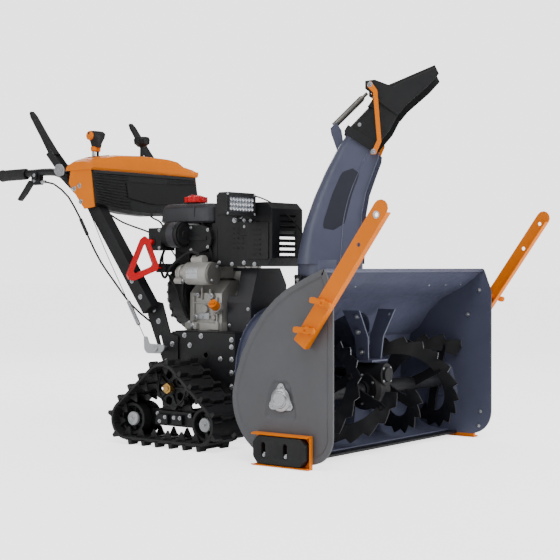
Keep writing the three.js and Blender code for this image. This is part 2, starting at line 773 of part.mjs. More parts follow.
function recoilHousing() {
  const bell = turned(
    [[0, 128], [112, 128], [124, 138], [122, 196], [96, 224], [60, 229], [0, 229]],
    "y",
    [0, 0, 462],
    28,
  );
  const shroud = box(-96, 96, 128, 190, 540, 660);
  const guide = box(-189, -80, ROPE.y - 18, ROPE.y + 18, ROPE.z - 14, ROPE.z + 14);
  return cut(join(bell, shroud, guide), rodX(-200, -95, ROPE.y, ROPE.z, 4, 8));
}

function starterMotor() {
  const z = 523;
  const x = -146;
  return join(
    turned([[0, -14], [30, -14], [36, -8], [36, 84], [30, 90], [0, 90]], "y", [x, 0, z], 24),
    rodY(88, 124, x, z, 24, 20),
    box(x - 14, -106, 8, 60, z - 34, z - 10),
    rodY(20, 66, x, z + 42, 15, 14),
    box(x - 8, x + 8, 26, 60, z + 30, z + 44),
  );
}

function fuelTank() {
  const ring = (z, inset, r) => {
    const [x0, x1, y0, y1] = [-122 + inset, 122 - inset, 12 + inset, 236 - inset];
    const corners = [
      [x1 - r, y1 - r, 0],
      [x0 + r, y1 - r, 90],
      [x0 + r, y0 + r, 180],
      [x1 - r, y0 + r, 270],
    ];
    return corners.flatMap(([cx, cy, a]) => arc(cx, cy, r, a, a + 90, 3).map(([x, y]) => [x, y, z]));
  };
  const tank = lofted([ring(683, 8, 14), ring(690, 0, 20), ring(732, 3, 20), ring(745, 14, 20)]);
  const neck = rodZ(740, 750, -65, 127, 30, 20);
  const bracket = box(-70, 70, 30, 110, 668, 690);
  return join(tank, neck, bracket);
}

function fuelCap() {
  const lobes = 10;
  const outline = Array.from({ length: lobes * 4 }, (_, i) => {
    const a = (i * 2 * Math.PI) / (lobes * 4);
    const r = i % 4 < 2 ? 38.5 : 36;
    return [-65 + r * Math.cos(a), 127 + r * Math.sin(a)];
  });
  return alongZ(outline, 750 + GAP, 768);
}

function mufflerGuard() {
  const [x0, x1, y0, y1, z0, z1] = [-110, 46, -218, 8, 545, 742];
  const outline = [
    [y1, z0], [y1, z1], [y0 + 20, z1], [y0, z1 - 20], [y0, z0 + 26], [y0 + 18, z0],
  ];
  const inside = offset(outline, 4, true);
  const shell = cut(alongX(outline, x0, x1), alongX(inside, x0 + 4, x1 + 5));
  const sideSlots = [0, 1, 2, 3, 4, 5].map((i) =>
    box(x0 - 5, x0 + 8, -172, -132, 580 + i * 19, 588 + i * 19),
  );
  const frontSlots = [0, 1, 2, 3, 4, 5, 6, 7].map((i) =>
    box(-70, 10, y0 - 5, y0 + 8, 578 + i * 17, 585 + i * 17),
  );
  const arm = join(
    box(-190, x0 + 2, -150, -120, 682, 688),
    box(x0 - 3, x0 + 2, -158, -96, 640, 690),
    box(-190, -184, -143, -131, 686, 694),
  );
  return join(cut(shell, sideSlots, frontSlots), arm);
}

function workLight() {
  const z = 733;
  const body = alongY(
    [
      [-256, z - 28], [-248, z - 35], [-124, z - 35], [-116, z - 28],
      [-116, z + 28], [-124, z + 35], [-248, z + 35], [-256, z + 28],
    ],
    -160,
    -124,
  );
  const recess = box(-244, -128, -170, -156, z - 22, z + 22);
  const fins = [0, 1, 2, 3, 4, 5].map((i) => box(-246 + i * 23, -240 + i * 23, -126, -112, z - 28, z + 28));
  return join(cut(body, recess), fins);
}

const switchBox = () =>
  cut(
    join(box(-176, -110, 178, 232, 596, 668), box(-112, -90, 191, 228, 604, 660)),
    rodX(-190, -170, 216, 623, 10, 14),
  );

// A round filter can on the oval cover of the carburettor.
function carburettorCover() {
  const oval = [...arc(127, 633, 43, -90, 90, 6), ...arc(53, 633, 43, 90, 270, 6)];
  return join(alongX(oval, -126, -100), rodY(106, 176, -146, 646, 39, 24));
}

// A hollow hood, open below, whose sides lean in towards its top.
function beltCover() {
  const wall = 3.5;
  const levels = [
    [342, -92, 92, -121],
    [432, -92, 92, -121],
    [488, -77, 86, -125],
    [540, -62, 48, -129],
  ];
  const ring = ([z, x0, x1, y0], inset) => [
    [x0 + inset, y0 + inset, z],
    [x1 - inset, y0 + inset, z],
    [x1 - inset, -26 - inset, z],
    [x0 + inset, -26 - inset, z],
  ];
  const outside = lofted(levels.map((level) => ring(level, 0)));
  const inside = lofted([
    ring([330, -92, 92, -121], wall),
    ...levels.slice(1, 3).map((level) => ring(level, wall)),
    ring([540 - wall, -62, 48, -129], wall),
  ]);
  return cut(outside, inside, box(-86, 86, -60, -20, 330, 530));
}

// The three-sided pull, and the rope's first stretch, which slides in the guide on the housing.
function recoilHandle() {
  const outline = shapeOf([
    [33, 632], [44, 640], [56, 630], [102, 518], [95, 504], [80, 500], [5, 532], [0, 548],
  ]);
  outline.holes.push(holeOf([[41, 616], [48, 612], [82, 530], [76, 522], [22, 544], [17, 552]]));
  const a = THREE.MathUtils.degToRad(PULL.turn);
  const onRope = (distance) => [-Math.cos(a) * distance, Math.sin(a) * distance, ROPE.z];
  return join(alongX(outline, -10, 10, 4), rod(onRope(8), onRope(-103), 2.5, 8));
}

// ---- operator's end ---------------------------------------------------------------------------------------
function columnBody(grow, side = 1) {
  const [y0, z0] = COLUMN.foot;
  const [y1, z1] = COLUMN.head;
  const length = Math.hypot(y1 - y0, z1 - z0);
  const u = [(y1 - y0) / length, (z1 - z0) / length];
  const h = COLUMN.deep / 2 + grow;
  const spot = (a, b) => [y0 + u[0] * a - u[1] * b, z0 + u[1] * a + u[0] * b];
  const outline = [spot(-8, -h), spot(length, -h), spot(length, h), spot(-8, h)];
  const half = COLUMN.wide / 2 + grow;
  return alongX(outline, side * COLUMN.x - half, side * COLUMN.x + half);
}

// A box tube with the bent plate that bolts it to the chassis.
function column() {
  const bracket = alongX(
    [[84, 240], [122, 226], [150, 250], [212, 390], [206, 440], [150, 430], [118, 338], [84, 326]],
    CHASSIS.x + GAP,
    CHASSIS.x + 6,
  );
  const slot = alongX([...arc(160, 322, 6, 0, 180, 4), ...arc(152, 296, 6, 180, 360, 4)], 180, 230);
  return join(cut(bracket, slot), columnBody(0));
}

// The dash's outline at one X. The front wall keeps its slope up to the top.
function dashRing(x, grow, top = 858) {
  const t = 1 - (x / DASH_HALF) ** 2;
  const low = 742 - 28 * t - grow;
  const front = 388 - 12 * t - grow;
  const slope = (22 + 4 * t) / (848 - 742 + 28 * t);
  return [
    [x, front, low + 10],
    [x, front + 12, low],
    [x, 438 + grow, low],
    [x, 512 + grow, 822],
    [x, 512 + grow, top],
    [x, front + slope * (top - low - 10), top],
  ];
}

function dashBody() {
  const xs = [-DASH_HALF, -190, -110, 0, 110, 190, DASH_HALF];
  const outside = lofted(xs.map((x) => dashRing(x, 0)));
  const inside = lofted(xs.map((x) => dashRing(x * 0.985, -4, 888)));
  const rearWindow = box(-DASH_HALF + 12, DASH_HALF - 12, 470, 540, 770, 900);
  return cut(outside, inside, rearWindow, columnBody(0.8), columnBody(0.8, -1));
}

// The cover's crown: (X, height), highest over the middle and stepped down at the machine's left.
const COVER_CROWN = [
  [-262, 886],
  [-244, 894],
  [-200, 906],
  [-120, 916],
  [0, 921],
  [110, 919],
  [160, 913],
  [192, 898],
  [244, 890],
  [262, 884],
];

function dashCover() {
  const ring = ([x, top]) => {
    const bulge = 6 * (1 - (x / 262) ** 2);
    return [
      [x, 406 - bulge, 859 + GAP],
      [x, 401 - bulge, 866],
      [x, 401 - bulge, Math.min(878, top - 6)],
      [x, 412 - bulge, top - 5],
      [x, 440, top],
      [x, 490, top],
      [x, 514, top - 10],
      [x, 522, 868],
      [x, 522, 859 + GAP],
    ];
  };
  const shell = cut(lofted(COVER_CROWN.map(ring)), box(-250, 250, 412, 512, 850, 866));
  const cheekOutline = [[503, 864], [412, 864], [394, 738], [440, 732], [512, 818]];
  const cheeks = [1, -1].map((side) => {
    const [a, b] = [side * (DASH_HALF + GAP), side * (DASH_HALF + 5)];
    return alongX(cheekOutline, Math.min(a, b), Math.max(a, b));
  });
  const windows = [box(-200, -132, 462, 498, 850, 940), box(40, 70, 452, 508, 850, 940)];
  return cut(join(shell, cheeks), windows);
}

// One tube from grip to grip, which crosses behind the dash.
function handlebar() {
  const half = [
    [BAR.x, 858, BAR.z - 3],
    [BAR.x, 740, BAR.z],
    [BAR.x, 620, BAR.z + 1],
    [BAR.x, 572, BAR.z - 8],
    [BAR.x - 2, 542, 836],
    [BAR.x - 22, 534, 812],
    [BAR.x - 60, 534, 806],
  ];
  const other = half.map(([x, y, z]) => [-x, y, z]).reverse();
  const tube = swept([...half, [0, 534, 806], ...other], BAR.r, { sides: 8, steps: 44 });
  const perch = (side) => {
    const x = side * BAR.x;
    return join(
      box(x - 9, x + 9, 664, 704, 820, 852),
      box(x - 15, x + 15, 672, 696, 838, 864),
      rod([x, 666, 829], [x, 650, 829], 5, 10),
    );
  };
  return join(tube, perch(1), perch(-1));
}

function grip() {
  const outer = turned(
    [[0, 0], [17, 0], [19.5, 5], [18.5, 40], [19.5, 80], [18, 118], [21, 122], [21, 127], [0, 127]],
    "y",
    [BAR.x, 735, BAR.z - 1.2],
    20,
  );
  const along = [[BAR.x, 900, BAR.z - 4], [BAR.x, 800, BAR.z - 1.5], [BAR.x, 700, BAR.z]];
  return cut(outer, swept(along, BAR.r + 1.6, { steps: 6 }));
}

// A paddle: a flat blade over a fork that straddles the bar.
function clutchLever() {
  const fork = [-1, 1].map((side) => {
    const x = BAR.x + side * 15.6;
    return alongX(
      [[540, 856], [552, 850], [564, 856], [622, 918], [604, 934], [544, 872]],
      x - 2,
      x + 2,
    );
  });
  const blade = lofted(
    [
      [598, 916, 17.6, 6],
      [612, 934, 17.6, 6],
      [650, 984, 15, 5],
      [700, 1051, 13, 5],
      [712, 1067, 8, 4],
    ].map(([y, z, w, t]) => {
      const [uy, uz] = [0.8, -0.6];
      return [
        [BAR.x - w, y - uy * t, z - uz * t],
        [BAR.x + w, y - uy * t, z - uz * t],
        [BAR.x + w, y + uy * t, z + uz * t],
        [BAR.x - w, y + uy * t, z + uz * t],
      ];
    }),
  );
  return join(fork, blade);
}

function steeringTrigger() {
  const { y, z } = TRIGGER_PIVOT;
  const blade = [
    [y - 7, z - 4], [y + 6, z + 5], [y + 34, z - 26],
    [y + 60, z - 54], [y + 50, z - 60], [y + 22, z - 36],
  ];
  return join(
    rodX(BAR.x - 8, BAR.x + 8, y, z, 8, 12),
    alongX(blade, BAR.x - 8, BAR.x + 8),
  );
}

function speedLever() {
  return join(
    rodX(48, 62, 480, 880, 8, 12),
    alongX([[475, 880], [485, 880], [484, 966], [476, 966]], 50, 60),
    turned([[0, 958], [14, 958], [25, 968], [27, 984], [22, 992], [0, 994]], "z", [55, 480, 0], 20),
  );
}

function chuteJoystick() {
  const rods = [-158, -176].map((x) => rod([x, 480, 882], [x + 1, 480, 948], 4.5, 10));
  const base = rodY(470, 490, -167, 882, 14, 14);
  const knob = lofted(
    [
      [940, 17, 15],
      [956, 21, 18],
      [974, 34, 20],
      [988, 38, 20],
      [994, 30, 15],
    ].map(([z, a, b]) =>
      Array.from({ length: 14 }, (_, i) => {
        const t = (i * 2 * Math.PI) / 14;
        return [-164 + a * Math.cos(t), 480 + b * Math.sin(t), z];
      }),
    ),
  );
  return join(rods, base, knob);
}

// Both steering cables, from the triggers down behind the columns to one clamp on the chassis.
function steeringCables() {
  const right = [
    [-BAR.x, 646, 829], [-BAR.x, 625, 828], [-BAR.x - 2, 585, 812], [-BAR.x - 4, 536, 781],
    [-BAR.x - 6, 500, 742],
    [-248, 470, 703], [-248, 438, 651], [-247, 378, 562], [-246, 300, 480], [-238, 258, 430],
    [-214, 226, 392], [-150, 196, 340], [-80, 168, 300], [0, 150, 290],
  ];
  const left = right.slice(0, -1).map(([x, y, z]) => [-x, y, z]).reverse();
  const cable = swept([...right, ...left], 3.2, { sides: 8, steps: 40 });
  const adjusters = [-1, 1].map((side) => rod([side * 248, 468, 700], [side * 248, 436, 648], 5.5, 8));
  const clamp = box(-20, 20, CHASSIS.y1 + GAP, 156, 280, 300);
  return join(cable, adjusters, clamp);
}

// ---- assembly ---------------------------------------------------------------------------------------------
node("auger_housing", augerHousing(), finish.blueGrey());
pair("side_plate", sidePlate(), finish.plateGrey);
node("impeller_drum", impellerDrum(), finish.blueGrey());
node("scraper_bar", scraperBar(), finish.blackSteel());
node("gearbox_support", gearboxSupport(), finish.blueGrey());
node("auger_gearbox", augerGearbox(), finish.blackSteel());
node("auger_shaft", augerShaft(), finish.steel());
pair("auger", augerHalf(), finish.blackSteel);
node("impeller", impeller(), finish.blackSteel());
node("engine_pulley", enginePulley(), finish.steel());
node("drive_belt", driveBelt(), finish.rubber());

node("chassis_frame", chassisFrame(), finish.blackSteel());
pair("track_belt", trackBelt(), finish.rubber);
node("track_frame", trackFrame(), finish.blackSteel());
node("drive_axle", driveAxle(), finish.steel());
pair("drive_sprocket", sprocket(), finish.blackPlastic);
pair("idler_front", idler(IDLER_FRONT), finish.blackPlastic);
pair("idler_rear", idler(IDLER_REAR), finish.blackPlastic);

pair("skid_shoe", skidShoe(), finish.orange);
pair("drift_cutter", driftCutter(), finish.orange);

const chute = new THREE.Group();
chute.position.set(CHUTE.x, CHUTE.y, 0);
chute.rotation.z = THREE.MathUtils.degToRad(CHUTE.turn);
machine.add(chute);
node("chute_body", chuteBody(), finish.blueGrey(), chute);
node("deflector_lower", deflectorLower(), finish.blackPlastic(), chute);
node("deflector_upper", deflectorUpper(), finish.blackPlastic(), chute);
node("deflector_link", deflectorLink(), finish.orange(), chute);

node("belt_cover", beltCover(), finish.greyPlastic());
node("crankcase", crankcase(), finish.castAlloy());
node("cylinder_head", cylinderHead(), finish.castAlloy());
node("recoil_housing", recoilHousing(), finish.blackPlastic());
node("starter_motor", starterMotor(), finish.castAlloy());
node("fuel_tank", fuelTank(), finish.greyPlastic());
node("fuel_cap", fuelCap(), finish.red());
node("muffler_guard", mufflerGuard(), finish.blackSteel());
node("work_light", workLight(), finish.blackPlastic());
node("switch_box", switchBox(), finish.blackPlastic());
node("carburettor_cover", carburettorCover(), finish.blackPlastic());
node("stop_button", rodX(-184, -175, 216, 623, 9, 14), finish.red());
node("oil_cap", rod([-125, -8.3, 418.6], [-146, -10.6, 430], 15, 12), finish.orange());
const pull = node("recoil_handle", recoilHandle(), finish.red());
pull.position.set(PULL.x, ROPE.y, 0);
pull.rotation.z = THREE.MathUtils.degToRad(PULL.turn);

pair("column", column(), finish.blackSteel);
node("dash_body", dashBody(), finish.blackPlastic());
node("dash_cover", dashCover(), finish.orange());
node("handlebar", handlebar(), finish.blackSteel());
pair("grip", grip(), finish.rubber);
pair("clutch_lever", clutchLever(), finish.blackPlastic);
pair("steering_trigger", steeringTrigger(), finish.blackPlastic);
node("speed_lever", speedLever(), finish.blackPlastic());
node("chute_joystick", chuteJoystick(), finish.blackPlastic());
node("steering_cables", steeringCables(), finish.rubber());

export default machine;
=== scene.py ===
import bpy
import bmesh
import json
from math import asin, atan2, cos, hypot, pi, radians, sin, sqrt
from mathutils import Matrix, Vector


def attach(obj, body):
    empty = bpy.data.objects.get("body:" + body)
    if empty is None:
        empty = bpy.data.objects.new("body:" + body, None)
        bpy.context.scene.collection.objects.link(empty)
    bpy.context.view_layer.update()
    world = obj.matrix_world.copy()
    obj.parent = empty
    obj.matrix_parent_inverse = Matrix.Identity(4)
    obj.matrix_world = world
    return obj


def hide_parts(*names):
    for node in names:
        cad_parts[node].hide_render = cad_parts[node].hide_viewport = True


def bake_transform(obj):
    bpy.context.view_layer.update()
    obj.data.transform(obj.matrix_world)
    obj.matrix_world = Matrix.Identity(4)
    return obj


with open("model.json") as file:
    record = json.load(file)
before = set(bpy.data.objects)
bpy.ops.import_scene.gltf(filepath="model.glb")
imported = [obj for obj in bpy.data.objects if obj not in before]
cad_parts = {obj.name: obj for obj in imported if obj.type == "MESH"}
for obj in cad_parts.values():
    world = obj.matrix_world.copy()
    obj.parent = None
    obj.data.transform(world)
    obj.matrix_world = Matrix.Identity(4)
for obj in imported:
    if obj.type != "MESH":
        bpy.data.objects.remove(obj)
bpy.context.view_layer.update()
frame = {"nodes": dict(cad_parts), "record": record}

MM = 0.001
TURN = 2 * pi
SIDES = ((1, "left"), (-1, "right"))
nodes = frame["nodes"]
body_of_node = {n: b for b, ns in frame["record"]["behaviour"]["bodies"].items() for n in ns}
slot_of_node = {s["node"]: s["material_slot"] for s in frame["record"]["subparts"]}

# ---- camera and studio ----
CAMERA_AT = (-3.3236, -2.7147, 0.543)
AZIMUTH = radians(-52.5)
FOCAL_MM, SENSOR_MM, SHIFT_UP = 86.0, 36, -0.0232
WORLD_LIGHT, BACKDROP = 0.34, 2.65
FLOOR_LIGHT, FLOOR_GLOW = 0.15, 1.9
SKY_POWER, SKY_WIDTH, SKY_FROM = 1.5, radians(32), (-0.3, -0.35, 0.88)


def add_object(name, data):
    made = bpy.data.objects.new(name, data)
    bpy.context.scene.collection.objects.link(made)
    return made


def stage_glow(tree, strength, others, camera_rays):
    """Gives a strength socket one level for the camera's rays and another for all others."""
    path = tree.nodes.new("ShaderNodeLightPath")
    level = tree.nodes.new("ShaderNodeMapRange")
    level.inputs["To Min"].default_value = others
    level.inputs["To Max"].default_value = camera_rays
    tree.links.new(path.outputs["Is Camera Ray"], level.inputs["Value"])
    tree.links.new(level.outputs["Result"], strength)


def area_light(name, at, aim, size, power):
    lamp = add_object(name, bpy.data.lights.new(name, "AREA"))
    lamp.data.shape = "RECTANGLE"
    lamp.data.size, lamp.data.size_y = size
    lamp.data.energy = power
    lamp.location = at
    lamp.rotation_euler = (Vector(aim) - Vector(at)).to_track_quat("-Z", "Y").to_euler()


camera = add_object("camera", bpy.data.cameras.new("camera"))
camera.location = CAMERA_AT
camera.rotation_euler = (pi / 2, 0, AZIMUTH)
camera.data.sensor_width = SENSOR_MM
camera.data.lens = FOCAL_MM
camera.data.shift_y = SHIFT_UP
bpy.context.scene.camera = camera

world = bpy.data.worlds.new("studio")
bpy.context.scene.world = world
world.use_nodes = True
background = world.node_tree.nodes["Background"]
background.inputs["Color"].default_value = (1, 1, 1, 1)
stage_glow(world.node_tree, background.inputs["Strength"], WORLD_LIGHT, BACKDROP)
sun = add_object("sky", bpy.data.lights.new("sky", "SUN"))
sun.data.energy = SKY_POWER
sun.data.angle = SKY_WIDTH
sun.rotation_euler = Vector(SKY_FROM).to_track_quat("Z", "Y").to_euler()
area_light("key", (-2.6, -2.2, 3.2), (0, 0, 0.4), (2.2, 2.2), 32)
area_light("side", (-3.4, 1.6, 1.8), (0, 0.2, 0.5), (1.6, 2.4), 34)
area_light("front", (0.9, -3.2, 1.1), (0.1, -0.4, 0.25), (2.2, 1.6), 78)
area_light("rim", (2.2, 2.4, 2.6), (0, 0, 0.6), (2.0, 1.6), 36)


# ---- materials ----
def material(name, color, rough, metal=0.0, vary=0.12, grain=900, bump=0.1, rough_vary=0.08, patch=9,
        coat=0.0, specular=0.5, dust=0.0):
    """Colour that drifts over large patches, fine grain in the relief, and roughness that varies."""
    made = bpy.data.materials.new(name)
    made.use_nodes = True
    tree = made.node_tree
    shader = tree.nodes["Principled BSDF"]
    shader.inputs["Metallic"].default_value = metal
    shader.inputs["Coat Weight"].default_value = coat
    shader.inputs["Coat Roughness"].default_value = 0.18
    shader.inputs["Specular IOR Level"].default_value = specular
    place = tree.nodes.new("ShaderNodeTexCoord")

    def noise_at(scale, detail):
        n = tree.nodes.new("ShaderNodeTexNoise")
        n.inputs["Scale"].default_value = scale
        n.inputs["Detail"].default_value = detail
        tree.links.new(place.outputs["Object"], n.inputs["Vector"])
        return n.outputs["Fac"]

    def ranged(source, low, high, a=0.3, b=0.7):
        r = tree.nodes.new("ShaderNodeMapRange")
        for key, v in (("From Min", a), ("From Max", b), ("To Min", low), ("To Max", high)):
            r.inputs[key].default_value = v
        tree.links.new(source, r.inputs["Value"])
        return r.outputs["Result"]

    large = noise_at(patch, 3)
    ramp = tree.nodes.new("ShaderNodeValToRGB")
    dark = [c * (1 - vary) for c in color]
    light = [min(1, c * (1 + vary) + dust) for c in color]
    ramp.color_ramp.elements[0].position = 0.32
    ramp.color_ramp.elements[1].position = 0.68
    ramp.color_ramp.elements[0].color = (*dark, 1)
    ramp.color_ramp.elements[1].color = (*light, 1)
    tree.links.new(large, ramp.inputs["Fac"])
    tree.links.new(ramp.outputs["Color"], shader.inputs["Base Color"])
    tree.links.new(ranged(noise_at(patch * 6, 4), rough - rough_vary, rough + rough_vary),
            shader.inputs["Roughness"])
    relief = tree.nodes.new("ShaderNodeBump")
    relief.inputs["Strength"].default_value = bump
    relief.inputs["Distance"].default_value = 0.0006
    tree.links.new(noise_at(grain, 2), relief.inputs["Height"])
    tree.links.new(relief.outputs["Normal"], shader.inputs["Normal"])
    return made


MATS = {
    "plate_grey_paint": material("plate_grey", (0.094, 0.096, 0.104), 0.46, 0.1, 0.05, 1400, 0.16,
                                 specular=0.4),
    "blue_grey_paint": material("blue_grey", (0.082, 0.089, 0.138), 0.38, 0.1, 0.07, 1600, 0.07, coat=0.1,
                                specular=0.4),
    "orange_paint": material("orange_coat", (0.78, 0.185, 0.0), 0.42, 0.0, 0.05, 1200, 0.07, specular=0.16),
    "orange_plastic": material("orange_plastic", (0.78, 0.185, 0.0), 0.45, 0.0, 0.05, 1600, 0.1,
                               specular=0.18),
    "black_steel": material("black_coat", (0.0072, 0.0075, 0.0088), 0.42, 0.0, 0.2, 1100, 0.16,
                            specular=0.32),
    "black_plastic": material("black_plastic", (0.011, 0.0114, 0.0125), 0.48, 0.0, 0.15, 1500, 0.22,
                              specular=0.3),
    "grey_plastic": material("grey_plastic", (0.040, 0.041, 0.047), 0.46, 0.0, 0.08, 1500, 0.14,
                             specular=0.35),
    "rubber": material("rubber", (0.0105, 0.0105, 0.0115), 0.56, 0.0, 0.2, 800, 0.3, dust=0.003,
                       specular=0.36),
    "cast_alloy": material("cast_alloy", (0.42, 0.412, 0.385), 0.46, 0.5, 0.12, 420, 0.45),
    "cast_iron": material("cast_black", (0.008, 0.0084, 0.0095), 0.5, 0.0, 0.2, 420, 0.4, specular=0.3),
    "steel": material("zinc_steel", (0.46, 0.47, 0.49), 0.34, 0.95, 0.1, 700, 0.12),
    "red_plastic": material("red_plastic", (0.62, 0.003, 0.008), 0.38, 0.0, 0.06, 1500, 0.08, specular=0.3),
}
EXTRA = {
    "brass": material("brass", (0.55, 0.33, 0.1), 0.35, 0.9, 0.2, 500, 0.2),
    "cap_grey": material("cap_grey", (0.40, 0.42, 0.43), 0.45, 0.15, 0.06, 900, 0.1),
    "panel_black": material("panel_black", (0.009, 0.009, 0.0098), 0.42, 0.0, 0.04, 2000, 0.02, specular=0.3),
    "gunmetal": material("gunmetal", (0.17, 0.165, 0.15), 0.4, 0.5, 0.08, 600, 0.2),
    "cover_black": material("cover_black", (0.020, 0.021, 0.0255), 0.36, 0.0, 0.06, 1500, 0.12, specular=0.4),
    "plate_dark": material("plate_dark", (0.026, 0.028, 0.041), 0.42, 0.0, 0.03, 2000, 0.04, specular=0.3),
    "label_silver": material("label_silver", (0.5, 0.52, 0.55), 0.3, 0.6, 0.05, 2000, 0.03),
    "glass": material("lamp_face", (0.45, 0.47, 0.52), 0.15, 0.4, 0.2, 300, 0.2),
    "led": material("led", (0.85, 0.86, 0.82), 0.12, 0.0, 0.05, 300, 0.1),
    # bright steel for the augers' tooth edges: worn metal, and also a painted highlight
    "edge_steel": material("wear_highlight_edge", (0.30, 0.31, 0.33), 0.4, 0.8, 0.3, 900, 0.3),
}


# ---- mesh helpers ----
def finish(bm, name, look, body, bevel=0.0, smooth=32, segments=2, replace=(), scale=MM):
    """A piece in the machine's own frame; bm is in millimetres unless scale is 1."""
    bmesh.ops.recalc_face_normals(bm, faces=bm.faces)
    mesh = bpy.data.meshes.new(name)
    if scale != 1:
        bmesh.ops.scale(bm, vec=(scale, scale, scale), verts=bm.verts)
    bm.to_mesh(mesh)
    bm.free()
    made = add_object(name, mesh)
    mesh.materials.append(MATS.get(look) or EXTRA[look])
    mesh.shade_smooth()
    mesh.set_sharp_from_angle(angle=radians(smooth))
    if bevel:
        m = made.modifiers.new("edges", "BEVEL")
        m.width = bevel * MM
        m.segments = segments
        m.limit_method = "ANGLE"
        m.angle_limit = radians(smooth)
        m.harden_normals = True
    if body:
        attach(made, body)
    if replace:
        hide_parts(*replace)
    return made


def rounded(node, bevel=1.0, smooth=32, look=None):
    """The CAD node's own shape with its edges broken, as a piece that stands for it."""
    bm = bmesh.new()
    bm.from_mesh(nodes[node].data)
    bmesh.ops.remove_doubles(bm, verts=bm.verts, dist=2e-5)
    bmesh.ops.dissolve_limit(bm, angle_limit=radians(0.6), verts=bm.verts, edges=bm.edges)
    finish(bm, node + "_shell", look or slot_of_node[node], body_of_node[node], bevel,
            smooth, replace=[node], scale=1)


def ring_faces(bm, *rings):
    """A band of faces between each ring of vertices and the next."""
    n = len(rings[0])
    for a, b in zip(rings, rings[1:]):
        for i in range(n):
            bm.faces.new((a[i], a[(i + 1) % n], b[(i + 1) % n], b[i]))


def add_ring(bm, points, place, w):
    """Vertices for an outline at w; place(u, v, w) gives the point."""
    return [bm.verts.new(place(u, v, w)) for u, v in points]


def add_prism(bm, outline, place, a, b):
    """An outline extruded between a and b."""
    low, high = add_ring(bm, outline, place, a), add_ring(bm, outline, place, b)
    bm.faces.new(low[::-1])
    bm.faces.new(high)
    ring_faces(bm, low, high)


def along_x(u, v, w):
    return (w, u, v)


def along_z(u, v, w):
    return (u, v, w)


def collar(inner, outer, low, high):
    """The profile of a plain ring."""
    return [(inner, low), (outer, low), (outer, high), (inner, high), (inner, low)]


def solid(*corners):
    """The profile of a solid turned shape: from the axis, round the corners and back to the axis."""
    return [(0, corners[0][1]), *corners, (0, corners[-1][1])]


def add_turned(bm, profile, origin, axis, sides=24):
    """(radius, distance) pairs turned about an axis through origin."""
    q = Vector((0, 0, 1)).rotation_difference(Vector(axis).normalized())
    angles = [TURN * i / sides for i in range(sides)]
    rings = []
    for r, h in profile:
        ring = [(0, 0, h)] if r < 1e-6 else [(r * cos(a), r * sin(a), h) for a in angles]
        rings.append([bm.verts.new(Vector(origin) + q @ Vector(p)) for p in ring])
    for a, b in zip(rings, rings[1:]):
        for i in range(sides):
            j = (i + 1) % sides
            ring = [a[i % len(a)], a[j % len(a)], b[j % len(b)], b[i % len(b)]]
            face = list(dict.fromkeys(ring))
            if len(face) > 2:
                bm.faces.new(face)


def add_loft(bm, rings):
    """A closed skin through rings of points."""
    made = [[bm.verts.new(p) for p in ring] for ring in rings]
    ring_faces(bm, *made)
    bm.faces.new(made[0][::-1])
    bm.faces.new(made[-1])


def add_box(bm, low, high):
    add_prism(bm, [(low[0], low[1]), (high[0], low[1]), (high[0], high[1]), (low[0], high[1])],
            along_z, low[2], high[2])


def smooth_path(points, per=8):
    """A Catmull-Rom curve through points."""
    p = [Vector(q) for q in points]
    p = [p[0] * 2 - p[1]] + p + [p[-1] * 2 - p[-2]]
    out = []
    for i in range(1, len(p) - 2):
        for k in range(per):
            t = k / per
            out.append(0.5 * ((2 * p[i]) + (p[i + 1] - p[i - 1]) * t
                    + (2 * p[i - 1] - 5 * p[i] + 4 * p[i + 1] - p[i + 2]) * t * t
                    + (3 * p[i] - p[i - 1] - 3 * p[i + 1] + p[i + 2]) * t ** 3))
    out.append(p[-2])
    return out


def add_tube(bm, path, radius, sides=10):
    """A round tube along a path."""
    path = [Vector(p) for p in path]
    side = None
    rings = []
    for i, p in enumerate(path):
        t = (path[min(i + 1, len(path) - 1)] - path[max(i - 1, 0)]).normalized()
        if side is None:
            side = t.orthogonal().normalized()
        side = (side - t * side.dot(t)).normalized()
        up = t.cross(side)
        rings.append([p + (side * cos(a) + up * sin(a)) * radius
                for a in (TURN * k / sides for k in range(sides))])
    add_loft(bm, rings)


def tube_piece(name, points, radius, look, body, per=8, sides=10):
    """A wire or pipe on a smooth path, as a piece of its own."""
    bm = bmesh.new()
    add_tube(bm, smooth_path(points, per), radius, sides)
    finish(bm, name, look, body)


def turned_piece(name, look, body, profile, origin, axis, sides, bevel=0.0, smooth=32):
    """One turned shape, as a piece of its own."""
    bm = bmesh.new()
    add_turned(bm, profile, origin, axis, sides)
    finish(bm, name, look, body, bevel, smooth)


def loft_piece(name, look, body, rings, bevel=0.0, smooth=32):
    """One loft, as a piece of its own."""
    bm = bmesh.new()
    add_loft(bm, rings)
    finish(bm, name, look, body, bevel, smooth)


def prism_piece(name, look, body, outline, place, a, b, bevel=0.0):
    """One prism, as a piece of its own."""
    bm = bmesh.new()
    add_prism(bm, outline, place, a, b)
    finish(bm, name, look, body, bevel)


def arc(cy, cz, r, start, stop, steps):
    return [(cy + r * cos(radians(start + (stop - start) * i / steps)),
            cz + r * sin(radians(start + (stop - start) * i / steps))) for i in range(steps + 1)]


def inset(points, d):
    """A closed outline moved inward (for an anticlockwise outline) by d."""
    out = []
    n = len(points)
    for i, p in enumerate(points):
        a, b = points[i - 1], points[(i + 1) % n]
        d1 = Vector((p[0] - a[0], p[1] - a[1])).normalized()
        d2 = Vector((b[0] - p[0], b[1] - p[1])).normalized()
        m = Vector((-(d1[1] + d2[1]), d1[0] + d2[0])).normalized()
        spread = max(0.5, m[0] * -d1[1] + m[1] * d1[0])
        out.append((p[0] + m[0] * d / spread, p[1] + m[1] * d / spread))
    return out


BOLTS = {}


def bolt(body, at, axis, r=7.0, washer=True, look="steel"):
    """Notes a hexagon bolt; build_bolts makes one piece of those that share a body and a look."""
    BOLTS.setdefault((body, look), []).append((at, axis, r, washer))


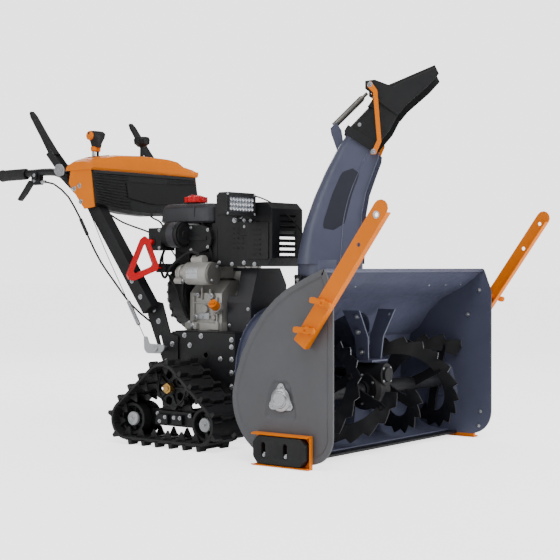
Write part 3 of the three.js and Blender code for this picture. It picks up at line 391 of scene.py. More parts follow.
def side_bolts(x, way, r, *places, body="machine"):
    """Bolts at (y, z) places on a face square to X that looks the given way, 1 or -1."""
    for y, z in places:
        bolt(body, (x, y, z), (way, 0, 0), r)


def build_bolts():
    for (body, look), many in BOLTS.items():
        bm = bmesh.new()
        for at, axis, r, washer in many:
            base = 0.12 * r if washer else 0.0
            if washer:
                add_turned(bm, solid((r * 1.35, -0.5), (r * 1.35, base * 0.7),
                        (r * 1.25, base)), at, axis, 20)
            add_turned(bm, [(0, base), (r * 0.98, base), (r, base + 0.1 * r), (r, base + 0.5 * r),
                    (r * 0.9, base + 0.62 * r), (0, base + 0.66 * r)], at, axis, 6)
            add_turned(bm, solid((r * 0.45, base + 0.6 * r), (r * 0.45, base + 0.95 * r),
                    (r * 0.36, base + 1.05 * r)), at, axis, 12)
        finish(bm, "bolts_" + body + ("" if look == "steel" else "_" + look), look, body)

# ---- auger housing, side plates, skids and cutters ----
PLATE_OUT = 435
AUGER_Y, AUGER_Z = -497, 181
FAN_Z = 226
PLATE = [(-674, 90), (-674, 467), (-646, 540), (-599, 521), (-566, 506), (-520, 484), (-480, 456),
         (-440, 420), (-394, 360), (-362, 300), (-342, 245)]
PLATE += arc(AUGER_Y, AUGER_Z, 168, 4, -86, 9) + [(-600, 13)] + arc(-600, 87, 74, -100, -170, 4)
PLATE = PLATE[::-1]  # anticlockwise seen along +X with Y to the right
HEX = [(-548, 128), (-446, 128), (-440, 142), (-462, 222), (-474, 236), (-520, 236), (-532, 222), (-554, 142)]


def rounded_outline(points, radius, steps=4):
    """The outline with each corner cut by a small arc."""
    out = []
    n = len(points)
    for i, p in enumerate(points):
        p = Vector(p)
        a, b = Vector(points[i - 1]), Vector(points[(i + 1) % n])
        da, db = (a - p), (b - p)
        r = min(radius, da.length * 0.45, db.length * 0.45)
        s, e = p + da.normalized() * r, p + db.normalized() * r
        for k in range(steps + 1):
            t = k / steps
            q = s * (1 - t) ** 2 + p * 2 * t * (1 - t) + e * t * t
            out.append((q[0], q[1]))
    return out


def filled(bm, outer, holes):
    """A flat face with holes, by triangles."""
    edges = []
    for ring in [outer, *holes]:
        for i in range(len(ring)):
            a, b = ring[i], ring[(i + 1) % len(ring)]
            e = bm.edges.get((a, b)) or bm.edges.new((a, b))
            edges.append(e)
    bmesh.ops.triangle_fill(bm, use_beauty=True, use_dissolve=False, edges=edges)


def side_plate(side, name):
    bm = bmesh.new()
    plate = rounded_outline(PLATE, 9, 3)

    def ring(points, x):
        return add_ring(bm, points, along_x, side * x)

    back = ring(plate, PLATE_OUT - 6)
    edge = ring(plate, PLATE_OUT - 1.2)
    top_a = ring(inset(plate, 1.2), PLATE_OUT)
    top_b = ring(inset(plate, 15), PLATE_OUT)
    low = ring(inset(plate, 21), PLATE_OUT - 3.6)
    hexagon = rounded_outline(HEX, 9, 3)
    lip = ring(hexagon, PLATE_OUT - 3.6)
    pit = ring(inset(hexagon, 9), PLATE_OUT - 8.5)
    lip_back = ring(inset(hexagon, -1), PLATE_OUT - 6)
    pit_back = ring(inset(hexagon, 8), PLATE_OUT - 10.5)
    ring_faces(bm, back, edge, top_a, top_b, low)
    ring_faces(bm, lip, pit)
    ring_faces(bm, lip_back, pit_back)
    filled(bm, low, [lip])
    filled(bm, back, [lip_back])
    bm.faces.new(pit)
    bm.faces.new(pit_back)
    made = finish(bm, name + "_panel", "plate_grey_paint", "machine", 0, 24, replace=[name])
    made.data.materials.append(MATS["blue_grey_paint"])
    for face in made.data.polygons:
        if face.normal[0] * side < -0.5:
            face.material_index = 1


def bearing(side, name):
    """A pressed three-bolt flange round the end of the auger shaft."""
    bm = bmesh.new()
    corners = [90, 210, 330]
    outline = []
    for a in corners:
        c = radians(a)
        centre = Vector((AUGER_Y + 34 * cos(c), AUGER_Z + 34 * sin(c)))
        for k in range(-3, 4):
            t = c + radians(k * 22)
            outline.append((centre[0] + 11 * cos(t), centre[1] + 11 * sin(t)))
    add_prism(bm, outline, lambda u, v, w: (side * w, u, v), PLATE_OUT - 8.3, PLATE_OUT - 4)
    x = Vector((side, 0, 0))
    start = Vector((side * (PLATE_OUT - 4.2), AUGER_Y, AUGER_Z))
    add_turned(bm, [(33, 0), (33, 1.5), (29, 4), (24, 5), (23, 7.5), (20, 8.5),
            (17.5, 6.5), (0, 6.2)], start, x, 32)
    finish(bm, name, "steel", "machine", 0.8, 30)
    for a in corners:
        c = radians(a)
        bolt("machine", (side * (PLATE_OUT - 4), AUGER_Y + 34 * cos(c), AUGER_Z + 34 * sin(c)), x, 4.6)


def skid(side, name, body):
    """A pressed bracket with flared lips round a plastic wear block with two slots."""
    bm = bmesh.new()
    x0 = PLATE_OUT + 0.5
    low_lip = [(x0, 0.2), (457, 0.2), (463, 3), (461, 5.5), (455, 3.8), (x0, 3.8)]
    high_lip = [(x0, 87.2), (455, 87.2), (461, 85.2), (463, 88), (457, 90.8), (x0, 90.8)]
    add_prism(bm, [(-606, 4), (-420, 4), (-420, 88), (-606, 88)],
            lambda u, v, w: (side * w, u, v), x0, x0 + 3)
    for lip in (low_lip, high_lip):
        add_prism(bm, lip, lambda u, v, w: (side * u, w, v), -609, -418)
    add_prism(bm, [(x0, -609), (446, -609), (449, -607), (447, -604.8), (444, -605.4), (x0, -605.4)],
            lambda u, v, w: (side * u, v, w), 2, 89)
    finish(bm, name + "_bracket", "orange_paint", body, 0.7, 30, replace=[name])
    bm = bmesh.new()
    block = rounded_outline([(-601, 26), (-586, 7), (-440, 7), (-425, 26), (-425, 66), (-440, 84),
            (-586, 84), (-601, 66)], 4, 2)
    slots = [arc(y, 60, 8, 0, 180, 6) + arc(y, 30, 8, 180, 360, 6) for y in (-462, -536)]

    def ring(points, x):
        return add_ring(bm, points, along_x, side * x)

    back, wall, top = ring(block, 439), ring(block, 461), ring(inset(block, 2), 464)
    ring_faces(bm, back, wall, top)
    fronts, rears = [], []
    for s in slots:
        f, g, r = ring(s, 464), ring(inset(s, 1.2), 463), ring(inset(s, 1.2), 439)
        ring_faces(bm, f, g, r)
        fronts.append(f)
        rears.append(r)
    filled(bm, top, fronts)
    filled(bm, back, rears)
    finish(bm, name + "_block", "black_plastic", body, 0, 40)
    side_bolts(side * 457, side, 5.6, (-462, 31), (-536, 31), body=body)


def wing_knob(at, side, turn, body, name):
    """A moulded wing screw: a boss and two flared wings."""
    bm = bmesh.new()
    at = Vector(at)
    x = Vector((side, 0, 0))
    add_turned(bm, solid((11, 0), (12, 2), (10, 11), (8, 12.5), (4.5, 12.5), (4, 9)), at, x, 20)
    c, s = cos(turn), sin(turn)
    for sign in (1, -1):
        rings = []
        for d, w, lo, hi in ((6, 8, 1, 10), (18, 7, 3, 13), (28, 8.5, 7, 19),
                (33, 6, 10, 20), (35, 2, 12, 18)):
            rings.append([at + x * h + Vector((0, c, s)) * sign * d + Vector((0, -s, c)) * u
                    for u, h in ((-w, lo), (w, lo), (w, hi), (-w, hi))])
        add_loft(bm, rings)
    finish(bm, name, "orange_plastic", body, 1.4, 30, 3)


CUT_FOOT, CUT_TIP = Vector((-586, 343)), Vector((-840, 694))
CUT_ALONG = (CUT_TIP - CUT_FOOT).normalized()
CUTTER_FACE = 460.2


def cutter_trim(side, name, body):
    turn = atan2(CUT_ALONG[1], CUT_ALONG[0]) + radians(58)
    length = (CUT_TIP - CUT_FOOT).length
    for k, f in enumerate((0.09, 0.3)):
        y, z = CUT_FOOT + CUT_ALONG * length * f
        wing_knob((side * CUTTER_FACE, y, z), side, turn + k * 0.2, body, f"{name}_knob_{k + 1}")
    bm = bmesh.new()
    tip = CUT_FOOT + CUT_ALONG * 412
    add_turned(bm, [(5.6, -1), (10, -1), (10, 0.8), (5.8, 0.8), (5.6, -1)],
            (side * CUTTER_FACE, tip[0], tip[1]), (side, 0, 0), 20)
    finish(bm, name + "_washer", "steel", body, 0)


for side, hand in SIDES:
    side_plate(side, "side_plate_" + hand)
    bearing(side, "bearing_flange_" + hand)
    skid(side, "skid_shoe_" + hand, hand + "_skid")
    rounded("drift_cutter_" + hand, 1.1)
    cutter_trim(side, "drift_cutter_" + hand, hand + "_cutter")
    side_bolts(side * 429, -side, 5.5, (-632, 470), (-590, 392))
    side_bolts(side * 429, -side, 4.5, (-636, 86), (-630, 40))

for n, b in (("auger_housing", 0.9), ("impeller_drum", 0.8), ("gearbox_support", 1.0), ("auger_gearbox", 2.2),
        ("scraper_bar", 1.0), ("impeller", 0.6)):
    rounded(n, b, 24 if n in ("auger_housing", "impeller_drum") else 32)


def housing_trim():
    """The pressed ribs on the roof, the drum's ring of bolts and the gearbox's screws."""
    bm = bmesh.new()
    for x in (-300, -190, 190, 300):
        path = [(-560, 477.5), (-524, 461.5), (-487, 441.5), (-449, 407)]
        rings = []
        for i, (y, z) in enumerate(path):
            w = 4 if i in (0, len(path) - 1) else 11
            h = 0.4 if i in (0, len(path) - 1) else 3.2
            d = Vector((0.55, 0.83))
            rings.append([(x - w, y, z), (x - w * 0.5, y + d[0] * h, z + d[1] * h),
                    (x + w * 0.5, y + d[0] * h, z + d[1] * h), (x + w, y, z)])
        add_loft(bm, rings)
    finish(bm, "housing_ribs", "blue_grey_paint", "machine", 0, 50)
    for k in range(12):
        a = TURN * k / 12
        bolt("machine", (191 * cos(a), -142, FAN_Z + 191 * sin(a)), (0, 1, 0), 4.4)
    for x in (-393, -300, -200, 200, 300, 393):
        bolt("machine", (x, -583.5, 489), (0, -0.56, -0.83), 4.2)
    for side in (-1, 1):
        for z, y in ((292, -504), (352, -506), (398, -516)):
            f = (z - 265) / (416 - 265)
            for face in (-1, 1):
                bolt("machine", (side * (34 + 62 * f) + face * 3.2, y, z), (face, 0, 0), 5.5)
    for k in range(6):
        a = radians(30 + 60 * k)
        for side in (-1, 1):
            bolt("machine", (side * 34, AUGER_Y + 43 * cos(a), AUGER_Z + 43 * sin(a)),
                    (side, 0, 0), 4.6, False)
    for a in (45, 135, 225, 315):
        c = radians(a)
        bolt("machine", (26 * cos(c), -562, FAN_Z + 26 * sin(c)), (0, -1, 0), 4, False)


housing_trim()


# ---- augers ----
def auger(side, name):
    """Two toothed ribbons on a tube. Each tooth is a folded plate whose drop carries a thin bright steel
    strip: a worn edge, and also a painted highlight.
    """
    start_x, stop_x, turns = 52, 418, 0.85
    teeth, per = 15, 4
    bm = bmesh.new()
    wear_highlight = bmesh.new()
    add_turned(bm, collar(13.6, 22, 0, stop_x - start_x + 8),
            (side * (start_x - 4), AUGER_Y, AUGER_Z), (side, 0, 0), 24)

    def spot(r, a, x, dx=0.0):
        return (side * (x + dx), AUGER_Y + r * cos(a), AUGER_Z + r * sin(a))

    for first in (0.0, pi):
        rings = []
        edge = []
        for i in range(teeth * per + 1):
            f = i / (teeth * per)
            saw = (i % per) / (per - 1)
            a = first + turns * TURN * f
            x = start_x + (stop_x - start_x) * f
            outer = 133 + 16.5 * saw
            fold = 4.5 * saw - 2
            section = ((95, -2.2), (122, -2.2), (outer, fold - 2.2),
                    (outer, fold + 2.2), (122, 2.2), (95, 2.2))
            rings.append([spot(r, a, x, dx) for r, dx in section])
            edge.append(((outer, a, x, fold), saw))
        add_loft(bm, rings)
        # a thin bright strip on each tooth's drop: a worn edge, and also a painted highlight
        for (p, sp), (q, sq) in zip(edge, edge[1:]):
            if sq < sp:  # the drop from a tooth's tip to the next root
                mid = [spot(p[0] + 0.5, p[1], p[2], p[3] + d) for d in (-2.5, 2.5)]
                end = [spot(q[0] + 0.2, q[1], q[2], q[3] + d) for d in (2.5, -2.5)]
                wear_highlight.faces.new([wear_highlight.verts.new(v) for v in (*mid, *end)])
        for at in (0.08, 0.5, 0.92):
            a = first + turns * TURN * at
            x = start_x + (stop_x - start_x) * at
            t = Vector((0, -sin(a), cos(a)))
            arm = []
            for r, w, h in ((14, 15, 5), (60, 13, 4), (104, 15, 2.6), (118, 12, 2.4)):
                c = Vector(spot(r, a, x, 2.5 if r > 100 else 0))
                u = Vector((side, 0, 0))
                arm.append([c + t * w + u * h, c - t * w + u * h, c - t * w - u * h, c + t * w - u * h])
            add_loft(bm, arm)
            bolt("auger", Vector(spot(108, a, x, 5)), (side, 0, 0), 5.2, True, "cast_iron")
    bmesh.ops.solidify(wear_highlight, geom=wear_highlight.faces[:], thickness=0.6)
    finish(bm, name + "_flights", "black_steel", "auger", 0.5, 28, 1, replace=[name])
    finish(wear_highlight, name + "_wear_highlight_edges", "edge_steel", "auger", 0, 30)


auger(1, "auger_left")
auger(-1, "auger_right")

# ---- chute and deflectors ----
CHUTE_TURN = radians(30)
CHUTE_AT = Vector((15, -346, 0))


def in_chute(x, s, z):
    """A point given across the chute, forward of its turning axis, and up."""
    c, d = cos(CHUTE_TURN), sin(CHUTE_TURN)
    return (CHUTE_AT[0] + x * c + s * d, CHUTE_AT[1] + x * d - s * c, z)


def chute_axis(x, s, z):
    return Vector(in_chute(x, s, z)) - Vector(in_chute(0, 0, 0))


for n, b in (("chute_body", 0.7), ("deflector_lower", 0.8), ("deflector_upper", 0.8),
        ("deflector_link", 1.0)):
    rounded(n, b, 24)

CHUTE_SIDE = (((98, 552), (-99, 552), 96), ((101, 640), (-90, 600), 93), ((104, 704), (-77, 662), 90),
              ((115, 764), (-45, 752), 86), ((134, 818), (-11, 828), 83), ((152, 866), (30, 905), 81),
              ((154, 884), (60, 948), 80))
CHEEK = [(62, 968), (149, 911), (147, 902), (127, 892), (52, 941), (51, 951)]
HINGE_FLAP = [(50, 938.5), (56.5, 949), (64, 964), (61.5, 966.5), (53.5, 952), (47.5, 940.5)]
CLAMP = [(-12, -10), (4, -10), (4, 20), (-5.5, 20), (-5.5, 16), (-1, 16), (-1, -4), (-12, -4)]
LINING = [(122, 1020), (129, 1027), (144, 1053), (141.5, 1055), (125, 1030), (119.5, 1023)]


def in_chute_side(s, z, x):
    return in_chute(x, s, z)


def chute_face_trim():
    """Folded rims along the open front, a seam pressed along each side, and the blank name plate."""
    bm = bmesh.new()
    for side in (-1, 1):
        rings = []
        for (s, z), (bs, bz), half in CHUTE_SIDE:
            back = Vector((bs - s, bz - z)).normalized()
            out = []
            for a, b in ((0, 0), (0, 9), (2.6, 9), (2.6, 0)):
                d = back * a
                out.append(in_chute(side * (half - 0.5 + b * 0.55), s + d[0] + 0.4, z + d[1]))
            rings.append(out)
        add_loft(bm, rings)
    finish(bm, "chute_rims", "blue_grey_paint", "chute", 0.5, 30)
    bm = bmesh.new()
    for side in (-1, 1):
        path = []
        for (s, z), (bs, bz), half in CHUTE_SIDE:
            path.append(in_chute(side * (half + 0.2), s + (bs - s) * 0.3, z + (bz - z) * 0.3))
        add_tube(bm, smooth_path(path, 4), 1.3, 8)
    finish(bm, "chute_seams", "blue_grey_paint", "chute")
    steps = 14
    rings = []
    for i in range(steps + 1):
        f = i / steps
        u = 1.5 + f * 2.75
        k = min(int(u), 4)
        t = u - k
        (s0, z0), (b0, y0), h0 = CHUTE_SIDE[k]
        (s1, z1), (b1, y1), h1 = CHUTE_SIDE[k + 1]
        front = Vector((s0 + (s1 - s0) * t, z0 + (z1 - z0) * t))
        rear = Vector((b0 + (b1 - b0) * t, y0 + (y1 - y0) * t))
        half = h0 + (h1 - h0) * t
        cut = sqrt(max(0.0, 1 - (2 * f - 1) ** 10))
        lo, hi = 0.45 - 0.19 * cut, 0.45 + 0.19 * cut
        p, q = front.lerp(rear, lo), front.lerp(rear, hi)
        section = ((0.25, p), (0.75, p), (0.75, q), (0.25, q))
        rings.append([in_chute(-(half + d), *at) for d, at in section])
    loft_piece("chute_name_plate", "plate_dark", "chute", rings, 0, 40)


def chute_ring():
    """The ring gear and its clamps."""
    bm = bmesh.new()
    teeth = 60
    outer = []
    for i in range(teeth):
        for f, r in ((0, 107), (0.25, 111.5), (0.5, 111.5), (0.75, 107)):
            a = (i + f) * TURN / teeth
            outer.append((r, a))
    inner = [(101, a) for r, a in outer]

    def on_gear(r, a, z):
        return in_chute(r * cos(a), r * sin(a), z)

    low, high = add_ring(bm, outer, on_gear, 511.4), add_ring(bm, outer, on_gear, 515)
    inner_low, inner_high = add_ring(bm, inner, on_gear, 511.4), add_ring(bm, inner, on_gear, 515)
    ring_faces(bm, low, high, inner_high, inner_low, low)
    finish(bm, "chute_ring_gear", "black_steel", "chute", 0, 30)
    for k in range(3):
        a = radians(40 + 120 * k)
        at = Vector(in_chute(0, 0, 0)) + Vector((116 * cos(a), 116 * sin(a), 500))
        out = Vector((cos(a), sin(a), 0))
        t = Vector((-sin(a), cos(a), 0))
        rings = [[at + t * w + out * u + Vector((0, 0, v)) for u, v in CLAMP] for w in (-16, 16)]
        loft_piece(f"chute_clamp_{k + 1}", "black_steel", "machine", rings, 0.6, 30)
        bolt("machine", at + out * 4 + Vector((0, 0, 4)), out, 5)


def deflector_trim():
    """Hinge barrels, the balance spring, cheeks and flaps, pins, and the chute's latch."""
    bm = bmesh.new()
    for x0, x1 in ((-62, -22), (22, 62)):
        start = in_chute(x0, 62, 957)
        add_turned(bm, solid((7, 0), (7, x1 - x0)), start, chute_axis(1, 0, 0), 18)
    finish(bm, "deflector_hinge_barrels", "black_steel", "lower_deflector", 0.6)
    bm = bmesh.new()
    for x0, x1 in ((-70, -24), (24, 70)):
        start = in_chute(x0, 139, 1041)
        add_turned(bm, solid((5.2, 0), (5.2, x1 - x0)), start, chute_axis(1, 0, 0), 18)
    finish(bm, "upper_hinge_barrels", "black_steel", "upper_deflector", 0.6)
    low, high = Vector(in_chute(0, 12, 974)), Vector(in_chute(0, 121, 1080))
    along = high - low
    length = along.length
    bm = bmesh.new()
    coil = [(0, 0), (10, 0), (10.5, 4)]
    turns = 26
    step = (length - 40) / turns
    for i in range(turns):
        z = 6 + (length - 40) * i / turns
        coil += [(8.9, z), (10.2, z + step * 0.35), (10.2, z + step * 0.6), (8.9, z + step * 0.95)]
    coil += [(8, length - 30), (5, length - 26), (5, length - 10), (0, length - 10)]
    add_turned(bm, coil, low, along, 22)
    spring = finish(bm, "deflector_spring", "gunmetal", None, 0, 50)
    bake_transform(spring)
    # cheeks beside the hinges and flaps that close the gaps at the hinge lines
    bm = bmesh.new()
    for side in (-1, 1):
        add_prism(bm, CHEEK, in_chute_side, side * 86.6, side * 88.6)
        add_prism(bm, [(120, 1022), (204, 1001), (196, 1012), (144, 1054)],
                in_chute_side, side * 83, side * 85.4)
    for flap, half in ((HINGE_FLAP, 64), (LINING, 78)):
        add_prism(bm, flap, in_chute_side, -half, half)
    finish(bm, "deflector_cheeks", "black_plastic", "lower_deflector", 0.5)
    turned_piece("spring_eye", "black_plastic", "deflector_arms", collar(5.6, 10, -13, 13),
            in_chute(0, 128, 1086), chute_axis(1, 0, 0), 20, 0.6)
    for side in (-1, 1):
        x = chute_axis(side, 0, 0)
        bolt("deflector_arms", in_chute(side * 98, 138, 886), x, 6)
        bolt("deflector_arms", in_chute(side * 98, 128, 1086), x, 6)
        bolt("chute", in_chute(side * 80.5, 74, 935), x, 4.2)
        bolt("lower_deflector", in_chute(side * 86, 96, 968), x, 4.2)
    # a screw low on the chute's side, and the wire latch beside it
    bolt("chute", in_chute(-78, 118, 640), chute_axis(-1, 0, 0), 8)
    tube_piece("chute_latch", [in_chute(-80, 112, 640), in_chute(-88, 116, 638), in_chute(-89, 126, 628)],
            2.4, "black_steel", "chute", 4, 8)


for trim in (chute_face_trim, chute_ring, deflector_trim):
    trim()


# ---- engine ----
for n, b in (("crankcase", 3.0), ("cylinder_head", 0.8), ("recoil_housing", 2.0), ("starter_motor", 1.5),
        ("fuel_tank", 3.0), ("fuel_cap", 1.2), ("muffler_guard", 1.3), ("switch_box", 2.5),
        ("carburettor_cover", 2.5), ("stop_button", 0.8), ("oil_cap", 1.5), ("recoil_handle", 3.6),
        ("engine_pulley", 0.6)):
    rounded(n, b, 30)
rounded("belt_cover", 3.0, 30, "cover_black")


ENGINE_Z = 462
STARTER_X, STARTER_Z = -146, 523
TO_RIGHT = (-1, 0, 0)


def crankcase_trim():
    """Cast ribs, bosses, screws and a blank plate on the side that faces the operator's right."""
    bm = bmesh.new()
    for y, z0, z1 in ((2, 372, 448), (98, 372, 452), (30, 432, 474), (64, 440, 478)):
        add_box(bm, (-110.5, y - 3, z0), (-103, y + 3, z1))
    for z in (392, 430):
        add_box(bm, (-108.5, 2, z - 2.5), (-103, 98, z + 2.5))
    for y, z, r in ((24, 452, 11), (80, 454, 9), (14, 384, 9), (88, 384, 10), (52, 410, 14)):
        add_turned(bm, solid((r, 0), (r, 9), (r - 2, 11)), (-103, y, z), TO_RIGHT, 20)
    for y0, y1 in ((-20, 26), (70, 118)):
        add_box(bm, (-130, y0, 346), (-112, y1, 366))
    finish(bm, "crankcase_ribs", "cast_alloy", "machine", 1.2, 30)
    side_bolts(-114, -1, 5.5, (24, 452), (80, 454), (88, 384))
    for y in (-8, 106):
        bolt("machine", (-121, y, 366), (0, 0, 1), 6.5)
    side_bolts(-130, -1, 7, (88, 356))
    bm = bmesh.new()
    add_box(bm, (-109.6, 34, 378), (-108.6, 78, 398))
    finish(bm, "crankcase_plate", "label_silver", "machine", 0.3)


def oil_filler_trim():
    """The filler's neck and the grip on its cap."""
    bm = bmesh.new()
    d = Vector((-21, -2.3, 11.4)).normalized()
    add_turned(bm, [(12, -14), (19, -14), (18, -1), (12, -1), (12, -14)], (-125, -8.3, 418.6), d, 24)
    finish(bm, "oil_filler_neck", "cast_alloy", "machine", 0.8)
    t = Vector((0, 1, 0))
    up = d.cross(t)
    c = Vector((-146, -10.6, 430))
    rings = [[c + d * h + t * a * k + up * b * k for a, b in ((-12, -3.2), (12, -3.2), (12, 3.2),
            (-12, 3.2))] for h, k in ((-2, 1.05), (6, 0.9))]
    loft_piece("oil_cap_grip", "orange_plastic", "oil_filler", rings, 1.2)


def starter_trim():
    """End cap, screws, blank plate and nose."""
    turned_piece("starter_end_cap", "gunmetal", "machine", solid((34, 0), (35.5, 3), (35.5, 9)),
            (STARTER_X, -19, STARTER_Z), (0, 1, 0), 28, 1.0)
    for a in (60, 240):
        c = radians(a)
        bolt("machine", (STARTER_X + 25 * cos(c), -19, STARTER_Z + 25 * sin(c)), (0, -1, 0), 4.2)
    rings = []
    for k in range(9):
        a = radians(150 + k * 7)
        rings.append([(STARTER_X + r * cos(a), y, STARTER_Z + r * sin(a))
                for r, y in ((36.1, 20), (36.7, 20), (36.7, 68), (36.1, 68))])
    loft_piece("starter_plate", "label_silver", "machine", rings, 0, 40)
    bm = bmesh.new()
    add_turned(bm, solid((27, 0), (29, 4), (27, 14), (20, 18)), (STARTER_X, 104, STARTER_Z), (0, 1, 0), 24)
    add_turned(bm, collar(6, 10, 0, 30), (-174, 88, 500), (0, 1, 0), 16)
    finish(bm, "starter_nose", "cast_alloy", "machine", 1.4)
    bolt("machine", (-174, 88, 500), (0, -1, 0), 6)


def recoil_trim():
    """Radial vents, screws and the rim of the blower housing."""
    bm = bmesh.new()
    for k in range(26):
        a = TURN * k / 26
        u, v = Vector((cos(a), 0, sin(a))), Vector((-sin(a), 0, cos(a)))
        c = Vector((0, 0, ENGINE_Z))
        rings = []
        for r, y, w in ((62, 229.6, 2.2), (94, 225.4, 3.4), (118, 203, 4.2), (124, 190, 4.2)):
            rings.append([c + u * (r + du) + v * (w * way) + Vector((0, y + dy, 0))
                    for du, way, dy in ((-1.5, -1, -1.5), (1, -1, 2.4), (1, 1, 2.4), (-1.5, 1, -1.5))])
        add_loft(bm, rings)
    add_turned(bm, [(0, 229), (56, 229), (58, 233), (50, 236), (0, 234)], (0, 0, ENGINE_Z), (0, 1, 0), 36)
    finish(bm, "recoil_vents", "black_plastic", "machine", 0.5, 30, 1)
    for k in range(4):
        a = radians(45 + 90 * k)
        bolt("machine", (108 * cos(a), 220, ENGINE_Z + 108 * sin(a)), (0, 1, 0), 5)
    rings = []
    for a in range(96, 266, 8):
        c = radians(a)
        rings.append([(r * cos(c), y, ENGINE_Z + r * sin(c))
                for r, y in ((121, 128), (127, 128), (129, 134), (121, 138))])
    loft_piece("recoil_rim", "black_plastic", "machine", rings, 0, 40)


def tank_trim():
    """Seam, ribs and the top of the cap."""
    bm = bmesh.new()
    seam = []
    for cx, cy, a0 in ((101, 215, 0), (-101, 215, 90), (-101, 33, 180), (101, 33, 270)):
        seam += [(cx + 22.5 * cos(radians(a0 + t)), cy + 22.5 * sin(radians(a0 + t)))
                for t in (0, 30, 60, 90)]
    rim = [(a * 0.97, 124 + (b - 124) * 0.97) for a, b in seam]
    low, high = add_ring(bm, seam, along_z, 689), add_ring(bm, seam, along_z, 693)
    high_rim, low_rim = add_ring(bm, rim, along_z, 693.6), add_ring(bm, rim, along_z, 688.4)
    ring_faces(bm, low_rim, low, high, high_rim)
    bm.faces.new(high_rim)
    bm.faces.new(low_rim)
    finish(bm, "tank_seam", "grey_plastic", "machine", 0, 30)
    bm = bmesh.new()
    add_box(bm, (-122.6, 84, 700), (-120.5, 87, 738))
    add_box(bm, (-122.6, 40, 738), (-120, 208, 741))
    finish(bm, "tank_ribs", "grey_plastic", "machine", 0.6)
    bm = bmesh.new()
    add_turned(bm, solid((26, 0), (28, 1.5), (24, 4), (10, 5)), (-65, 127, 767.5), (0, 0, 1), 28)
    add_box(bm, (-88, 124, 771), (-42, 130, 775))
    finish(bm, "fuel_cap_top", "red_plastic", "fuel_filler", 1.0)


def air_cleaner_trim():
    """End drum, band, the duct in front of it, screws and the stop button."""
    bm = bmesh.new()
    can = (-146, 106, 646)
    add_turned(bm, [(34, 0), (39.8, 0), (40.8, 2), (40.8, 9), (34, 9), (34, 0)], can, (0, 1, 0), 36)
    add_turned(bm, solid((35, 0), (35, 1.4), (29, 3), (27, 1.6), (12, 1.6), (10, 3.4)), can, (0, -1, 0), 36)
    add_box(bm, (-152, 118, 683), (-140, 176, 689))
    add_box(bm, (-129, 30, 627), (-125, 104, 640))
    for a in (30, 150, 270):
        c = radians(a)
        add_box(bm, (-149 + 40 * cos(c), 112, 643 + 40 * sin(c)),
                (-143 + 40 * cos(c), 124, 649 + 40 * sin(c)))
    finish(bm, "air_cleaner_drum", "black_plastic", "machine", 1.0)
    turned_piece("air_cleaner_band", "grey_plastic", "machine",
            [(38, 14), (41, 15), (41, 44), (38, 45), (38, 14)], can, (0, 1, 0), 36, 0, 40)
    bm = bmesh.new()
    add_prism(bm, rounded_outline([(-2, 560), (62, 560), (76, 600), (76, 668), (-2, 668)], 10, 3),
            along_x, -112, -99.5)
    add_box(bm, (-114.5, 6, 628), (-110, 66, 642))
    finish(bm, "air_duct", "black_plastic", "machine", 2.0)
    side_bolts(-176, -1, 4.2, (186, 660), (186, 604))
    side_bolts(-126, -1, 4.2, (26, 606), (26, 660), (96, 598), (96, 668))
    turned_piece("stop_button_ring", "black_plastic", "machine", collar(11, 15, 0, 3),
            (-175.6, 216, 623), TO_RIGHT, 24, 0.5)
    turned_piece("stop_button_dome", "red_plastic", "stop_switch",
            [(0, 0), (8.8, 0), (8.8, 2), (6, 4.2), (0, 5)], (-183.6, 216, 623), TO_RIGHT, 24, 0)


def guard_trim():
    """Guard panel, louvres and screws, the silencer, the cowl beside it, and the belt cover's screws."""
    panel = rounded_outline([(-206, 566), (-120, 566), (-120, 668), (-134, 682), (-206, 682)], 8, 3)
    prism_piece("guard_panel", "black_steel", "machine", panel, along_x, -113.5, -110.5, 1.2)
    bm = bmesh.new()
    for i in range(6):
        add_box(bm, (-115.2, -176, 580 + i * 15), (-113.2, -148, 584 + i * 15))
    for i in range(5):
        for y in (-4, -22, -40):
            add_box(bm, (-111.4, y - 66, 600 + i * 15), (-109.6, y - 56, 604 + i * 15))
    finish(bm, "guard_louvres", "cast_iron", "machine", 0.4)
    side_bolts(-110.5, -1, 5, (-8, 556), (-60, 552), (-108, 556), (-150, 552),
            (-10, 730), (-96, 700), (-112, 668))
    bm = bmesh.new()
    can = rounded_outline([(-206, 642), (-12, 642), (-12, 728), (-190, 728), (-206, 712)], 26, 4)
    add_prism(bm, can, along_x, -98, 34)
    for x0, x1 in ((-101, -96), (32, 37)):
        add_prism(bm, inset(can, -2.5), along_x, x0, x1)
    add_turned(bm, solid((16, 0), (16, 8), (12, 8), (12, 4)), (34, -150, 690), (1, 0, 0), 20)
    finish(bm, "silencer_can", "cast_iron", "machine", 2.0, 35)
    cowl = rounded_outline([(10, 560), (24, 650), (24, 682), (-12, 682), (-12, 560)], 6, 3)
    prism_piece("side_cowl", "black_plastic", "machine", cowl, along_x, -108, -97, 1.5)
    side_bolts(-92, -1, 4.4, (-110, 360), (-110, 412), (-34, 360))


for trim in (crankcase_trim, oil_filler_trim, starter_trim, recoil_trim, tank_trim, air_cleaner_trim,
        guard_trim):
    trim()


